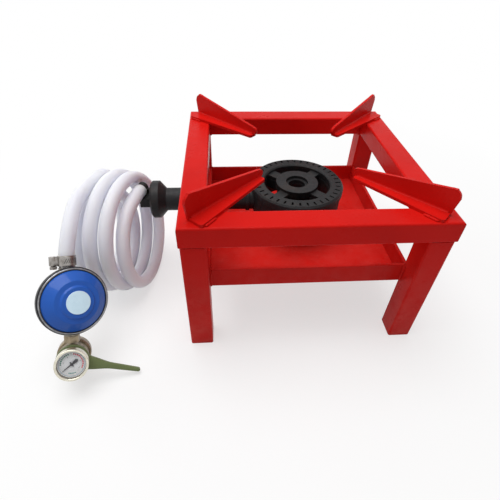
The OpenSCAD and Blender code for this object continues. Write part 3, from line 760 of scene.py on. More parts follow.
@dataclass
class Camera:
    """A camera that looks down on the stand from its front left corner."""

    place: tuple[float, float, float] = (-54.44, -367.99, 355.08)
    turn: float = -5.089
    dip: float = -41.708
    tilt: float = -1.935
    lens: float = 26.929
    sensor: float = 36.0
    clip: Point2 = (0.01, 60.0)

    def build(self) -> None:
        """Makes the camera and sets it as the scene's own."""
        data = bpy.data.cameras.new("camera")
        data.lens = self.lens
        data.sensor_width = self.sensor
        data.clip_start, data.clip_end = self.clip
        rig = put("camera", data)
        turns = spin(self.turn) @ spin(self.dip, "X") @ spin(self.tilt, "Y") @ spin(90, "X")
        rig.matrix_world = Matrix.Translation(Vector(self.place) * MM) @ turns
        bpy.context.scene.camera = rig


@dataclass
class Lamp:
    """One soft lamp that points at the stand; its lengths are metres."""

    name: str
    place: tuple[float, float, float]
    size: float
    power: float
    target: tuple[float, float, float] = (-0.03, 0.0, 0.08)

    def build(self) -> None:
        """Makes the lamp."""
        data = bpy.data.lights.new(self.name, "AREA")
        data.shape = "SQUARE"
        data.size = self.size
        data.energy = self.power
        lamp = put(self.name, data)
        lamp.location = self.place
        aim = Vector(self.target) - Vector(self.place)
        lamp.rotation_euler = aim.to_track_quat("-Z", "Y").to_euler()


@dataclass
class Room:
    """Pale floor, white surroundings and soft lamps; lengths are metres."""

    floor_size: float = 8.0
    floor_drop: float = 0.0003
    shadow_zone: Point2 = (0.22, 0.62)
    floor_seen: float = 0.98
    floor_bounce: float = 0.74
    glow: float = 0.6
    sky: float = 0.26
    lamps: list[Lamp] = field(default_factory=lambda: [
        Lamp("overhead", (-0.3, 0.15, 2.2), 1.7, 39.0),
        Lamp("left_window", (-1.9, 0.9, 0.95), 1.5, 10.0),
    ])

    def seen_ray(self, tree: bpy.types.NodeTree) -> Socket:
        """1 for rays of the camera, of gloss and through glass, else 0.

        Args:
            tree: The nodes that it is added to.

        Returns:
            The 1 or 0.
        """
        paths = tree.nodes.new("ShaderNodeLightPath")
        total = paths.outputs["Is Camera Ray"]
        for other in ("Is Glossy Ray", "Is Transmission Ray"):
            add = tree.nodes.new("ShaderNodeMath")
            add.operation = "MAXIMUM"
            tree.links.new(total, add.inputs[0])
            tree.links.new(paths.outputs[other], add.inputs[1])
            total = add.outputs[0]
        return total

    def floor_material(self) -> Material:
        """White paper that keeps a soft shadow near the object and is plain white away from it.

        Returns:
            The finished material.
        """
        board = Board("floor_paper")
        seen = self.seen_ray(board.tree)
        paper = board.add("ShaderNodeBsdfDiffuse")
        mottle = board.span(board.noise(6.0), 0.3, 0.7, self.floor_seen - 0.01, self.floor_seen)
        board.feed(paper.inputs["Color"], board.blend(seen, (self.floor_bounce,) * 3, mottle))
        white = board.add("ShaderNodeEmission")
        away = board.step("ShaderNodeVectorMath", "Value", {0: board.coords}, operation="LENGTH")
        clear = board.span(away, *self.shadow_zone, self.glow, 1.0)
        return board.mixed(board.calc("MULTIPLY", clear, seen), paper, white)

    def build(self) -> None:
        """Makes the floor, the surroundings and the lamps, and sets the picture's own look."""
        mesh = bmesh.new()
        bmesh.ops.create_grid(mesh, x_segments=8, y_segments=8, size=self.floor_size / 2)
        data = stored("floor", mesh)
        data.materials.append(self.floor_material())
        floor = put("floor", data)
        floor.location.z = -self.floor_drop

        world = bpy.data.worlds.new("surroundings")
        bpy.context.scene.world = world
        world.use_nodes = True
        tree = world.node_tree
        back = tree.nodes["Background"]
        level = tree.nodes.new("ShaderNodeMapRange")
        level.inputs["To Min"].default_value = self.sky
        level.inputs["To Max"].default_value = 1.0
        tree.links.new(self.seen_ray(tree), level.inputs["Value"])
        tree.links.new(level.outputs[0], back.inputs["Strength"])
        back.inputs["Color"].default_value = (1.0, 1.0, 1.0, 1.0)
        for lamp in self.lamps:
            lamp.build()
        bpy.context.scene.view_settings.view_transform = "Standard"


# ---- regulator frame


@dataclass
class Pose:
    """Where the regulator and the adaptor lie: Y runs towards the hose and Z out of the spring cap."""

    middle: tuple[float, float, float] = (-200.6319, -122.8, 76.30785)
    yaw: float = 1.5
    tilt: float = 52.0
    roll: float = 38.0
    nut_turn: float = 22.0
    adaptor_y: float = 58.0
    boss_z: float = -11.55

    def regulator(self) -> Matrix:
        """The regulator's frame, in millimetres."""
        return Matrix.Translation(self.middle) @ spin(self.yaw) @ spin(self.tilt, "X") @ spin(self.roll, "Y")

    def adaptor(self) -> Matrix:
        """The adaptor's frame, which is the gauge's and the lever's too, in millimetres."""
        return (self.regulator() @ Matrix.Translation((0, -self.adaptor_y, self.boss_z))
                @ spin(-self.nut_turn, "Y") @ Matrix.Translation((0, 0, -self.boss_z)))


def in_metres(place: Matrix) -> Matrix:
    """The same place with its offset in metres.

    Args:
        place: A matrix in millimetres.

    Returns:
        A matrix in metres.
    """
    result = place.copy()
    result.translation *= MM
    return result


# ---- hose


def smooth(t: float) -> float:
    """Eases from 0 to 1."""
    t = min(max(t, 0.0), 1.0)
    return t * t * (3 - 2 * t)


def ramp(u: float, start: float, run: float) -> float:
    """Eases from 0 at the start to 1 at its run's end."""
    return smooth((u - start) / run)


@dataclass
class GasHose:
    """White hose: four leaning turns and a free stretch over the first one to the regulator's outlet."""

    pose: Pose
    diameter: float = 14.8
    turn_radius: float = 64.5
    last_radius: float = 55.5
    pitch: float = 16.1
    middle: Point2 = (-211.4, -10.0)
    first: float = 0.25
    turns: int = 4
    shrink: Point2 = (3.0, 1.25)
    last_in: float = 4.0
    inward: Point2 = (3.9, 0.3)
    under: float = 9.5
    dip_in: Point2 = (0.4, 0.5)
    dip_out: Point2 = (1.35, 0.6)
    over: float = 16.0
    over_run: float = 0.32
    lean: Point2 = (0.188, -0.055)
    out: float = 12.5
    rise: tuple[float, float, float] = (-25.2, -71.3, 120.5)
    crown: tuple[float, float, float] = (-23.9, -47.4, 131.6)
    straight: float = 5.0
    per_turn: int = 16
    collar_end: float = 31.4
    curved: float = 1.003
    near: float = 0.002
    knots: int = 4
    along_steps: int = 5
    round_steps: int = 7

    def radius_at(self, u: float) -> float:
        """Radius of the coil after u turns; the second turn is smaller where the first lies over it.

        Args:
            u: Number of turns.

        Returns:
            The radius.
        """
        shrink = ramp(u, *self.shrink)
        dip = ramp(u, *self.dip_in) * (1 - ramp(u, *self.dip_out))
        return self.turn_radius - (self.turn_radius - self.last_radius) * shrink - self.under * dip

    def coil_point(self, u: float) -> Vector:
        """Middle of the hose after u turns.

        Args:
            u: Number of turns.

        Returns:
            The point.
        """
        r = self.radius_at(u)
        back, up = -r * math.cos(math.tau * u), r * math.sin(math.tau * u)
        sway = self.turn_radius / r * (self.lean[0] * back + self.lean[1] * up)
        cross = self.over * (1 - ramp(u, self.first, self.over_run)) - self.last_in * ramp(u, *self.inward)
        along = self.middle[0] + (u - 2) * self.pitch + cross + sway
        return Vector((STAND_X + along, self.middle[1] + back, r + self.diameter / 2 + up))

    def heading(self, u: float) -> Vector:
        """Direction of the hose after u turns."""
        return (self.coil_point(u + self.near) - self.coil_point(u - self.near)).normalized()

    def lead_points(self) -> list[Vector]:
        """Route of the free stretch, from the regulator's outlet to the coil.

        Returns:
            Its points.
        """
        place = self.pose.regulator()
        start = place @ Vector((0, self.collar_end, self.pose.boss_z))
        along = (place.to_3x3() @ Vector((0, 1, 0))).normalized()
        into = self.heading(self.first)
        end = self.coil_point(self.first) - into * self.diameter
        side = Vector((STAND_X + self.middle[0], 0, 0))
        through = [start, start + along * self.out, side + Vector(self.rise), side + Vector(self.crown),
                   end - into * self.straight, end]
        points = [start]
        for i in range(1, len(through) - 2):
            a, b, c, d = through[i - 1:i + 3]
            for k in range(self.knots):
                t = k / self.knots
                bend, twist = 2 * a - 5 * b + 4 * c - d, 3 * b - 3 * c + d - a
                points.append((2 * b + t * (c - a) + t * t * bend + t ** 3 * twist) * 0.5)
        return points + [end - into * self.straight]

    def route(self) -> list[Vector]:
        """The whole middle line, from the jet holder through the coil to the regulator.

        Returns:
            Its points.
        """
        last = self.first + self.turns
        count = self.turns * self.per_turn
        coil = [self.coil_point(last - i / self.per_turn) for i in range(count + 1)]
        head = self.coil_point(last) + self.heading(last) * self.diameter
        tail = self.coil_point(self.first) - self.heading(self.first) * self.diameter
        return [head] + coil + [tail] + self.lead_points()[::-1]

    def build(self) -> Thing:
        """Makes the hose as one curve.

        Returns:
            The hose.
        """
        route = self.route()
        data = bpy.data.curves.new("gas_hose", "CURVE")
        data.dimensions = "3D"
        data.resolution_u = self.along_steps
        data.bevel_depth = self.diameter / 2 * MM
        data.bevel_resolution = self.round_steps
        data.use_fill_caps = True
        line = data.splines.new("BEZIER")
        line.bezier_points.add(len(route) - 1)
        for i, (knot, here) in enumerate(zip(line.bezier_points, route)):
            before, after = route[max(i - 1, 0)], route[min(i + 1, len(route) - 1)]
            way = (after - before).normalized()
            knot.co = here * MM
            knot.handle_left = (here - way * (here - before).length / 3) * MM
            knot.handle_right = (here + way * (after - here).length / 3) * MM
        hose = put("gas_hose", data)
        data.materials.append(HOSE.make())
        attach(hose, Body.STAND.value)
        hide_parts("hose_coil", "hose_lead")
        log.info("made gas_hose along %d points", len(route))
        return hose

    def declare(self) -> None:
        """Works out the hose's route and does nothing more with it.
        """
        route = self.route()


# ---- stand


def inked(mesh: Mesh, index: int) -> Mesh:
    """Gives all faces of a mesh a material index, and returns it.

    Args:
        mesh: The mesh.
        index: The index.

    Returns:
        The same mesh.
    """
    for face in mesh.faces:
        face.material_index = int(index)
    return mesh


@dataclass
class Bead:
    """A hand-laid fillet weld in the corner between two faces."""

    start: Vector
    end: Vector
    first_face: Vector
    second_face: Vector
    size: float = 3.0
    ripple: float = 1.5
    grain: float = 0.5
    sides: int = 9
    least_steps: int = 6
    bulk: Point2 = (0.26, 0.44)
    relief: Point2 = (0.07, 0.05)
    end_share: float = 0.65

    @classmethod
    def laid(cls, start: Sequence[float], end: Sequence[float], *rest: object) -> "Bead":
        """A bead between two points; the rest is as in the fields."""
        return cls(Vector(start), Vector(end), *rest)

    def mesh(self, seed: float) -> Mesh:
        """A bar with overlapping ripples that wanders a little.

        Args:
            seed: Number that sets this bead's own unevenness.

        Returns:
            The closed mesh.
        """
        run = self.end - self.start
        count = max(int(run.length / self.grain), self.least_steps)
        out = self.first_face + self.second_face
        path, radii = [], []
        for i in range(count + 1):
            t = i / count
            along = t * run.length
            wander = noise.noise(Vector((along * 0.35, seed, SEED)))
            fade = smooth(min(t, 1 - t) * 9) * (1 - self.end_share) + self.end_share
            wave = abs(math.sin(math.pi * along / self.ripple + wander * 2))
            path.append(self.start + run * t + out * self.size * (self.bulk[0] + self.relief[1] * wander))
            thick = self.bulk[1] + self.relief[0] * wave + self.relief[1] * wander
            radii.append(self.size * fade * thick)
        return swept(path, radii, self.sides)


@dataclass
class Stand:
    """Welded frame, legs, tray and pot supports."""

    width: float = 250.0
    depth: float = 250.0
    height: float = 162.0
    rail_height: float = 22.0
    leg_side: float = 24.0
    leg_inset: float = 1.0
    tube_corner: float = 2.0
    tray_low: float = 70.0
    bar_height: float = 22.0
    bar_thickness: float = 3.0
    fold: float = 11.0
    flange: float = 15.0
    flange_slope: float = 0.10158
    support_plate: float = 3.0
    weld: float = 3.0
    fine_ripple: float = 1.2
    bead_end: float = 0.6
    support_bead: float = 14.0
    sides: tuple[str, ...] = ("front", "rear", "left", "right")
    corners: tuple[str, ...] = ("front_left", "front_right", "rear_left", "rear_right")
    rough_edge: float = 80.0
    seed_steps: Point2 = (3.7, 1.3)

    def leg_beads(self) -> list[Bead]:
        """Beads between one leg and the frame, on the front left.

        Returns:
            The beads.
        """
        x, y = -self.width / 2 + self.leg_inset, -self.depth / 2 + self.leg_inset
        z, r = self.height - self.rail_height, self.tube_corner
        inner, back = x + self.leg_side, y + self.leg_side - r
        fine = (self.leg_inset, self.fine_ripple)
        return [Bead.laid((x + r, y, z), (inner - r, y, z), -Y_WAY, -Z_WAY, *fine),
                Bead.laid((x, y + r, z), (x, back, z), -X_WAY, -Z_WAY, *fine),
                Bead.laid((inner, y + 2 * r, z), (inner, back, z), X_WAY, -Z_WAY, self.weld)]

    def tray_beads(self) -> list[Bead]:
        """Beads at the tray bars' ends on one leg, on the front left.

        Returns:
            The beads.
        """
        x, y = (-across / 2 + self.leg_inset + self.leg_side for across in (self.width, self.depth))
        low, high = self.tray_low + self.bead_end, self.tray_low + self.bar_height - self.bead_end
        t = self.bar_thickness
        return [Bead.laid((x, y - t, low), (x, y - t, high), X_WAY, -Y_WAY, self.weld),
                Bead.laid((x - t, y, low), (x - t, y, high), Y_WAY, -X_WAY, self.weld)]

    def support_beads(self) -> list[Bead]:
        """Beads along one support's flange and fin; X runs along the fold from its outer end.

        Returns:
            The beads.
        """
        slope, length, plate = self.flange_slope, self.support_bead, self.support_plate
        along = Vector((math.cos(math.atan(slope)), math.sin(math.atan(slope)), 0))
        start = Vector((4.0, -self.flange + slope - 0.01, 0))
        return [Bead(start, start + along * length, Vector((along.y, -along.x, 0)), Z_WAY, self.weld - 0.4),
                Bead.laid((self.bead_end, plate, 0), (length, plate, 0), Y_WAY, Z_WAY, self.weld)]

    def weld_mesh(self, beads: list[Bead], places: Sequence[Matrix]) -> Mesh:
        """The same beads at several places, each with its own unevenness.

        Args:
            beads: Beads at one place.
            places: Matrices that move or mirror them.

        Returns:
            One mesh of all beads.
        """
        parts = []
        for k, place in enumerate(places):
            for i, bead in enumerate(beads):
                part = bead.mesh(k * self.seed_steps[0] + i * self.seed_steps[1])
                parts.append(outward(moved(part, Matrix.Translation((STAND_X, 0, 0)) @ place)))
        return merged(parts)

    def build(self, shop: Shop) -> None:
        """Dresses the tubes and plates and lays the weld beads.

        Args:
            shop: Where its pieces are added.
        """
        rails, bars = ([f"{kind}_{side}" for side in self.sides] for kind in ("rail", "tray_bar"))
        legs, supports = ([f"{kind}_{corner}" for corner in self.corners] for kind in ("leg", "pot_support"))
        shop.dress(RED, *rails, *legs, "foot_plates", *bars, "tray_floor", *supports)
        places = [Matrix.Diagonal((sx, sy, 1, 1)) for sx in (1, -1) for sy in (1, -1)]
        x, y = -self.width / 2 + self.fold, self.depth / 2 - self.fold
        seats = [Matrix.Diagonal((mirror, 1, 1, 1)) @ Matrix.Translation((x, side * y, self.height))
                 @ spin(-45 * side) for mirror in (1, -1) for side in (-1, 1)]
        welds = (("leg_weld", self.leg_beads(), places), ("tray_weld", self.tray_beads(), places),
                 ("support_weld", self.support_beads(), seats))
        for name, beads, where in welds:
            shop.add(f"{name}_beads", f"{name}s", self.weld_mesh(beads, where), RED, sharp=self.rough_edge)


# ---- burner


@dataclass
class Burner:
    """Cast ring burner, its loose ring, the bolts under it and the jet at its mouth."""

    def build(self, shop: Shop) -> None:
        """Dresses the castings and the jet.

        Args:
            shop: Where its pieces are added.
        """
        shop.dress(BLACK_IRON, "burner_body", "burner_ring", "jet_holder")
        shop.dress(ZINC, "burner_bolts")
        shop.dress(BRASS, "gas_jet")


# ---- regulator


@dataclass
class HoseClamp:
    """Slotted steel band with a worm screw in its housing, round the hose's end."""

    pose: Pose
    hose: float = 14.8
    gap: float = 0.15
    steel: float = 0.9
    width: float = 10.0
    start: float = 33.2
    house_width: float = 9.0
    screw_y: float = 3.0
    slots: int = 26
    slot_lean: float = 62.0
    slots_from: float = 170.0
    slots_over: float = 330.0
    house_span: Point2 = (140.0, 236.0)
    hood: Point2 = (3.7, 3.9)
    pitch: float = 1.02
    worm_turns: int = 9

    @property
    def screw_x(self) -> float:
        """Place of the screw, beside the hose."""
        return -self.hose / 2 - self.house_width / 2 + 0.5

    def frame(self) -> Matrix:
        """The band's frame: Z runs along the hose, away from the regulator."""
        return self.pose.regulator() @ Matrix.Translation((0, self.start, self.pose.boss_z)) @ spin(-90, "X")

    def band(self) -> Mesh:
        """The band with rolled edges, and its slots painted as thin dark slabs of shade.

        Returns:
            Its mesh.
        """
        inner = self.hose / 2 + self.gap
        outer = inner + self.steel
        hoop = turned(eased(box(inner, 0, outer, self.width), 0.35, 3, closed=True))
        parts = [inked(hoop, 0)]
        for i in range(self.slots):
            turn = self.slots_from + self.slots_over * i / self.slots
            if self.house_span[0] < turn % 360 < self.house_span[1]:
                continue
            seat = (spin(turn) @ Matrix.Translation((outer - 0.03, 0, self.width / 2))
                    @ spin(90, "Y") @ spin(self.slot_lean))
            # Painted shade: each slot is a thin dark slab on the band where the opening's shade would be.
            parts.append(inked(moved(slab(about_middle(0.64, 5.2), 0, 0.06), seat), 1))
        return merged(parts)

    def housing(self) -> Mesh:
        """The pressed housing over the screw, open at both ends, with its feet on the band.

        Returns:
            Its mesh.
        """
        x = self.screw_x
        angles = [math.radians(-30 + 12 * i) for i in range(36)]
        outline = [(x + self.hood[0] * math.cos(a), self.screw_y + self.hood[1] * math.sin(a)) for a in angles]
        hood = slab(outline, 0.6, 9.4, 0.35)
        foot = slab(eased(box(x + 1, -1, -self.hose / 2 + 0.6, 6.6), 0.6, 3, closed=True), 1.2, 8.8, 0.3)
        return merged([inked(hood, 0), inked(foot, 0)])

    def screw(self) -> Mesh:
        """Hexagon head with its slot painted as a thin dark slab of shade, a rolled collar, and the end of the
        worm.

        Returns:
            Its mesh.
        """
        head = turned(eased([(0, -3), (2.7, -3), (3.4, -2.5), (3.4, -0.5), (2.9, 0.2), (0, 0.2)], 0.25, 3), 6)
        # Painted shade: the screw's slot is a thin dark slab on the head's face.
        slot = slab(about_middle(5.8, 0.9), -3.04, -2.98)
        thread = [(0, 0.1)]
        for i in range(self.worm_turns):
            thread += [(2.1, 0.3 + i * self.pitch), (2.4, 0.8 + i * self.pitch)]
        worm = turned(thread + [(2.1, 9.7), (0, 9.8)], 32)
        return merged([inked(head, 0), inked(slot, 1), inked(worm, 0)])

    def build(self, shop: Shop) -> None:
        """Makes the band with its housing, and the screw.

        Args:
            shop: Where its pieces are added.
        """
        place = in_metres(self.frame())
        hoop = merged([self.band(), self.housing()])
        shop.add("clamp_hoop", "clamp_band", hoop, BAND, place, also=(SLOT_SHADE,))
        seat = in_metres(self.frame() @ Matrix.Translation((self.screw_x, self.screw_y, 0)))
        shop.add("clamp_worm", "clamp_screw", self.screw(), BAND, seat, also=(SLOT_SHADE,))


@dataclass
class Regulator:
    """Blue spring cap on a die-cast housing, crimped together over a rubber diaphragm."""

    pose: Pose
    radius: float = 31.0
    flange: float = 1.8
    rubber: float = 1.2
    cap_height: float = 11.6
    cap_top: float = 17.0
    cap_step: float = 2.0
    crimp: float = 1.7
    lip: float = 1.5
    disc: float = 11.0
    disc_thickness: float = 0.6
    rim_in: float = 1.3
    # Distance outside the radius past which the ring's faces are painted as shade.
    dark_from: float = 0.55

    @property
    def half_rim(self) -> float:
        """Height of a flange's outer face over the middle of the rubber."""
        return self.rubber / 2 + self.flange

    def cap_profile(self) -> list[Point2]:
        """Outline of the cap's outside and a thin shell under it.

        Returns:
            The outline.
        """
        low = self.rubber / 2
        base = self.half_rim
        top = base + self.cap_height
        step = top - self.cap_step
        rim, crest = self.radius - self.rim_in, self.cap_top
        outside = [(rim, low), (rim, base), (rim - 0.1, base + 0.6), (rim - 1.3, base + 2.4),
                   (crest + 3.4, step - 0.25), (crest + 1.2, step - 0.1), (crest - 1.1, step + 0.1),
                   (crest - 2.5, top - 0.1), (crest - 4, top), (0, top)]
        return [(0, low)] + eased(outside, 1.1, 5)

    def crimp_profile(self) -> list[Point2]:
        """Outline of the rolled ring: a wall round the flanges with a thin bead over each edge.

        Returns:
            The outline.
        """
        half = self.half_rim
        inner, outer, top = self.radius - 1.0, self.radius + self.crimp, half + self.lip
        upper = [(outer - 0.5, top - 1.3), (outer - 1.0, top - 0.5), (self.radius + 0.3, top - 0.05),
                 (inner + 0.5, top), (inner, top - 0.5), (inner, half)]
        lower = [(x, -y) for x, y in reversed(upper)]
        wall = [(self.radius, half), (self.radius, -half)]
        return eased(wall + lower + [(outer, -half + 0.3), (outer, half - 0.3)] + upper, 0.5, 3, closed=True)

    def gasket_profile(self) -> list[Point2]:
        """Outline of the thin black line between the cap and the rolled ring."""
        half = self.half_rim
        return box(self.radius - self.rim_in, half, self.radius - 0.98, half + self.lip + 0.05)

    def build(self, shop: Shop) -> None:
        """Makes the outer pieces and dresses the housing and what is inside.

        Args:
            shop: Where its pieces are added.
        """
        place = in_metres(self.pose.regulator())
        shop.add("spring_cap", "regulator_cap", turned(self.cap_profile(), FINE_ROUND), BLUE, place, 60)
        ring = turned(self.crimp_profile(), FINE_ROUND)
        # Painted shade: the ring's outer faces get the near-black steel as their shade.
        for face in ring.faces:
            middle = face.calc_center_median()
            if math.hypot(middle.x, middle.y) > self.radius + self.dark_from:
                face.material_index = 1
        shop.add("rolled_ring", "crimp_ring", ring, CRIMP, place, 60, also=(RIM_SHADE_STEEL,))
        shop.add("rim_gasket", "", turned(self.gasket_profile(), FINE_ROUND), SEAL, place)
        top = self.half_rim + self.cap_height
        plate = eased(box(0, top, self.disc, top + self.disc_thickness), 0.2, 3)
        shop.add("blank_disc", "cap_disc", turned(plate), PLATE, place)
        shop.dress(DIE_CAST, "regulator_bowl")
        shop.dress(SEAL, "diaphragm")
        shop.dress(ZINC, "diaphragm_plate", "regulator_spring")
        shop.dress(DIE_CAST, "outlet_collar", "inlet_pipe")
        shop.dress(OLD_BRASS, "inlet_nut")


# ---- adaptor, lever and gauge


@dataclass
class ValveAdaptor:
    """Clip-on adaptor with its lever."""

    pose: Pose
    neck: float = 24.0
    ring: float = 3.2
    run: float = 0.05
    low: float = -4.5
    thickness: float = 4.0
    length: float = 65.0
    tip: float = 4.0
    turn: float = -18.0
    edge: float = 0.7
    bore_sides: int = 64
    ring_end: float = 28.0
    waist: float = 0.62
    ring_steps: int = 40
    side_steps: int = 14

    def lever_outline(self) -> list[Point2]:
        """Outline of the lever: a ring that flares into the arm and a rounded tip.

        Returns:
            The outline.
        """
        ring = self.neck / 2 + self.ring
        half_tip = self.tip / 2
        sweep = 360 - 2 * self.ring_end
        points = [on_circle(ring, math.radians(self.ring_end + sweep * i / self.ring_steps))
                  for i in range(self.ring_steps + 1)]
        start = points[-1]
        wide = abs(start[1])
        side: list[Point2] = []
        for i in range(1, self.side_steps + 1):
            t = i / self.side_steps
            x = start[0] + (self.length - half_tip - start[0]) * t
            flare = (wide - half_tip * 1.15) * (1 - smooth(t * 2.1)) * self.waist
            taper = half_tip + (wide * self.waist - half_tip) * (1 - t) ** 0.9 * self.waist
            side.append((x, -min(wide, taper + flare)))
        angles = [math.radians(a) for a in range(15, 180, 15)]
        nose = [(self.length - half_tip + half_tip * math.sin(a), -half_tip * math.cos(a)) for a in angles]
        return points + side + nose + [(x, -y) for x, y in reversed(side)]

    def lever(self) -> Mesh:
        """The lever with its bore, with soft edges.

        Returns:
            Its mesh.
        """
        turn = Matrix.Rotation(math.radians(self.turn), 2)
        outer = [turn @ Vector(p) for p in self.lever_outline()]
        bore = self.neck / 2 + self.run
        count = len(outer)
        mesh = bmesh.new()
        high = self.low + self.thickness
        edge, soft = self.edge, self.edge * 0.3
        levels = [(self.low, edge), (self.low + soft, soft), (self.low + edge, 0),
                  (high - edge, 0), (high - soft, soft), (high, edge)]
        rings = []
        for z, inset in levels:
            ring = []
            for i, p in enumerate(outer):
                along = (outer[(i + 1) % count] - outer[i - 1]).normalized()
                normal = Vector((along.y, -along.x))
                q = p - normal * inset
                ring.append(mesh.verts.new((q.x, q.y, z)))
            rings.append(ring)
        for low, up in zip(rings, rings[1:]):
            band(mesh, low, up)
        hole_low, hole_high = ([mesh.verts.new((*on_circle(bore, math.tau * i / self.bore_sides), z))
                                for i in range(self.bore_sides)] for z in (self.low, high))
        band(mesh, hole_low, hole_high)
        for outside, hole in ((rings[0], hole_low), (rings[-1], hole_high)):
            edges = [mesh.edges.get((ring[i - 1], ring[i])) for ring in (outside, hole)
                     for i in [*range(1, len(ring)), 0]]
            bmesh.ops.triangle_fill(mesh, use_beauty=True, edges=edges)
        return outward(mesh)

    def build(self, shop: Shop) -> None:
        """Makes the lever and dresses the adaptor.

        Args:
            shop: Where its pieces are added.
        """
        shop.add("release_lever", "lever", self.lever(), OLIVE, in_metres(self.pose.adaptor()), 50, Body.LEVER)
        shop.dress(OLD_BRASS, "adaptor_body")
        shop.dress(BRASS, "socket_ring")
        shop.dress(SEAL, "socket_seal")


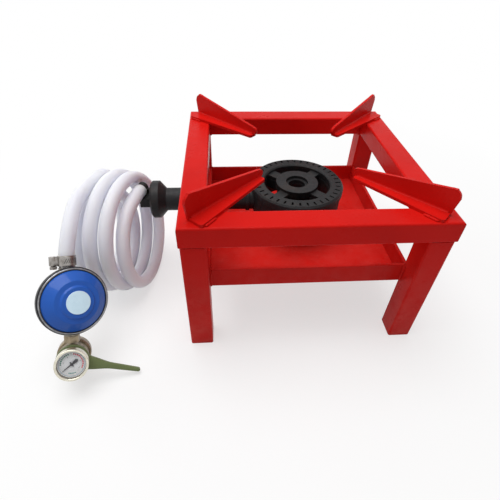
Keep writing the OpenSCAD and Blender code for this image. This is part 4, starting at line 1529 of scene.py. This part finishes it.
@dataclass
class Gauge:
    """Pressure gauge with a plated case, a printed dial and its needle."""

    pose: Pose
    radius: float = 15.0
    low: float = 2.5
    height: float = 10.0
    lip: float = 1.2
    wall: float = 1.4
    overlap: float = 0.8
    dial_z: float = 8.5
    card: float = 0.5
    needle_z: float = 9.5
    needle_reach: float = 10.5
    needle_tail: float = 6.6
    needle_turn: float = 215.0
    full_scale: int = 10
    sweep: float = 250.0
    up: float = 10.0
    ink_depth: float = 0.02
    ink_height: float = 0.03
    minor_steps: int = 5
    zones: tuple[tuple, ...] = ((180, 98, 3.7, 2.5, Ink.GREEN, 8), (80, -34, 3.7, 2.5, Ink.RED, 11),
                                (248, 292, 4.4, 3.5, Ink.TEAL, 5))
    figures_in: float = 5.3
    figure_size: float = 1.5
    dash: float = 0.74
    long_mark: Point2 = (2.2, 0.16)
    short_mark: Point2 = (1.9, 0.08)
    ring_in: Point2 = (1.35, 0.95)
    marks_end: float = 1.45

    @property
    def inside(self) -> float:
        """Radius inside the case."""
        return self.radius - self.overlap - self.wall

    @property
    def face(self) -> float:
        """Height of the card's face."""
        return self.dial_z + self.card

    def printed(self, outline: list[Point2], ink: int) -> Mesh:
        """A flat printed shape on the card's face."""
        return inked(slab(outline, self.face - self.ink_depth, self.face + self.ink_height), ink)

    def case(self) -> Mesh:
        """The pressed cup with a rounded back and a rolled groove.

        Returns:
            Its mesh.
        """
        r, top = self.radius - self.overlap, self.low + self.height
        low, inner = self.low, self.inside + 0.02
        outline = [(0, low), (r - 0.2, low), (r - 0.2, low + 3.2), (r - 0.7, low + 3.8), (r, low + 4.4),
                   (r, top), (inner, top), (inner, self.dial_z), (0, self.dial_z - 0.01)]
        return turned(eased(outline, 0.8, 4))

    def bezel(self) -> Mesh:
        """The rolled front ring.

        Returns:
            Its mesh.
        """
        r, top = self.radius, self.low + self.height + self.lip
        low, inner = self.low + 3, r - self.overlap
        outline = [(inner, low), (r, low), (r, top), (r - 2.1, top), (r - 2.4, top - self.lip),
                   (inner, top - self.lip)]
        return turned(eased(outline, 0.75, 5, closed=True))

    def mark(self, turn: float, near: float, far: float, width: float) -> Mesh:
        """One line of the scale, from the radius near to the radius far."""
        return moved(self.printed(box(near, -width / 2, far, width / 2), Ink.BLACK), spin(turn))

    def arc(self, start: float, end: float, near: float, far: float, ink: int, steps: int = 18) -> Mesh:
        """A printed arc between two angles.

        Args:
            start: First angle, in degrees.
            end: Last angle.
            near: Inner radius.
            far: Outer radius.
            ink: Its ink.
            steps: Number of segments.

        Returns:
            Its mesh.
        """
        angles = [math.radians(start + (end - start) * i / steps) for i in range(steps + 1)]
        outline = [on_circle(far, a) for a in angles] + [on_circle(near, a) for a in reversed(angles)]
        return self.printed(outline, ink)

    def figure(self, text: str, turn: float, reach: float) -> Mesh:
        """One figure of the scale, upright on the dial.

        Args:
            text: The figure.
            turn: Its angle round the dial, in degrees.
            reach: Its distance from the middle.

        Returns:
            Its flat mesh.
        """
        words = bpy.data.curves.new("figure", "FONT")
        words.body = text
        words.size = self.figure_size
        words.align_x, words.align_y = "CENTER", "CENTER"
        words.resolution_u = 2
        holder = bpy.data.objects.new("figure", words)
        mesh = bmesh.new()
        data = holder.to_mesh()
        mesh.from_mesh(data)
        holder.to_mesh_clear()
        bpy.data.objects.remove(holder)
        bpy.data.curves.remove(words)
        spot = on_circle(reach, math.radians(turn))
        place = Matrix.Translation((*spot, self.face + self.ink_height)) @ spin(self.up)
        return inked(moved(mesh, place), Ink.BLACK)

    def dial(self) -> Mesh:
        """The card with its ring, marks, arcs and figures, and the pivot.

        Returns:
            Its mesh.
        """
        r, top = self.inside - 0.05, self.face
        hub_top = self.needle_z + 0.9
        parts = [inked(turned(eased(box(0, self.dial_z, r, top), 0.08, 2)), 0),
                 self.arc(0, 359.9, r - self.ring_in[0], r - self.ring_in[1], Ink.BLUE, 90),
                 inked(turned(box(0, top, 0.8, hub_top), 24), Ink.BLACK)]
        first, steps = self.needle_turn, self.full_scale * self.minor_steps
        for i in range(steps + 1):
            inner, width = self.short_mark if i % self.minor_steps else self.long_mark
            parts.append(self.mark(first - self.sweep * i / steps, r - inner, r - self.marks_end, width))
        for i in range(0, self.full_scale + 1, 2):
            parts.append(self.figure(str(i), first - self.sweep * i / self.full_scale, r - self.figures_in))
        for start, end, near, far, ink, count in self.zones:
            step = (end - start) / count
            parts += [self.arc(start + step * i, start + step * (i + self.dash), r - near, r - far, ink, 3)
                      for i in range(count)]
        return merged(parts)

    def needle(self) -> Mesh:
        """The needle with a broad tail, a cross piece and a hub.

        Returns:
            Its mesh.
        """
        z = self.needle_z
        tail = -self.needle_tail
        half = [(self.needle_reach, 0.16), (0.5, 0.6), (-1.2, 0.65), (-2.2, 1.3), (tail + 1.2, 1.45),
                (tail, 0.7)]
        blade = slab(half + [(x, -y) for x, y in reversed(half)], z, z + 0.3)
        cross = slab(about_middle(0.9, 5.2), z + 0.02, z + 0.36)
        hub = turned(eased(box(0.82, z, 1.5, z + 0.5), 0.12, 2, closed=True), 32)
        return merged([blade, cross, hub])

    def build(self, shop: Shop) -> None:
        """Makes the gauge.

        Args:
            shop: Where its pieces are added.
        """
        place = in_metres(self.pose.adaptor())
        shop.add("gauge_cup", "gauge_case", self.case(), DIE_CAST, place, 50)
        shop.add("gauge_front_ring", "gauge_bezel", self.bezel(), CHROME, place, 60)
        inks = (INK, GREEN_INK, RED_INK, BLUE_INK, TEAL_INK)
        shop.add("gauge_card", "gauge_dial", self.dial(), DIAL, place, also=inks)
        hand = in_metres(self.pose.adaptor() @ spin(self.needle_turn))
        shop.add("gauge_hand", "gauge_needle", self.needle(), INK, hand, body=Body.NEEDLE)
        shop.dress(DIE_CAST, "gauge_stem")
        shop.dress(GLASS, "gauge_glass")


# ---- all together


def main() -> None:
    """Builds the camera, the hose, the stand and the fittings on the hose in order."""
    logging.basicConfig(level=logging.INFO, format="%(name)s: %(message)s")
    shop = Shop()
    Camera().build()
    pose = Pose()
    gas_hose = GasHose(pose)
    hose = gas_hose.build()
    for part in (Stand(), Burner()):
        log.info("building %s", type(part).__name__)
        part.build(shop)
    for part in (HoseClamp(pose), Regulator(pose), ValveAdaptor(pose), Gauge(pose)):
        log.info("building %s", type(part).__name__)
        part.build(shop)
    gas_hose.declare()
    Room().build()
    log.info("%d pieces", len(shop.pieces) + 1)


if __name__ == "__main__":
    main()
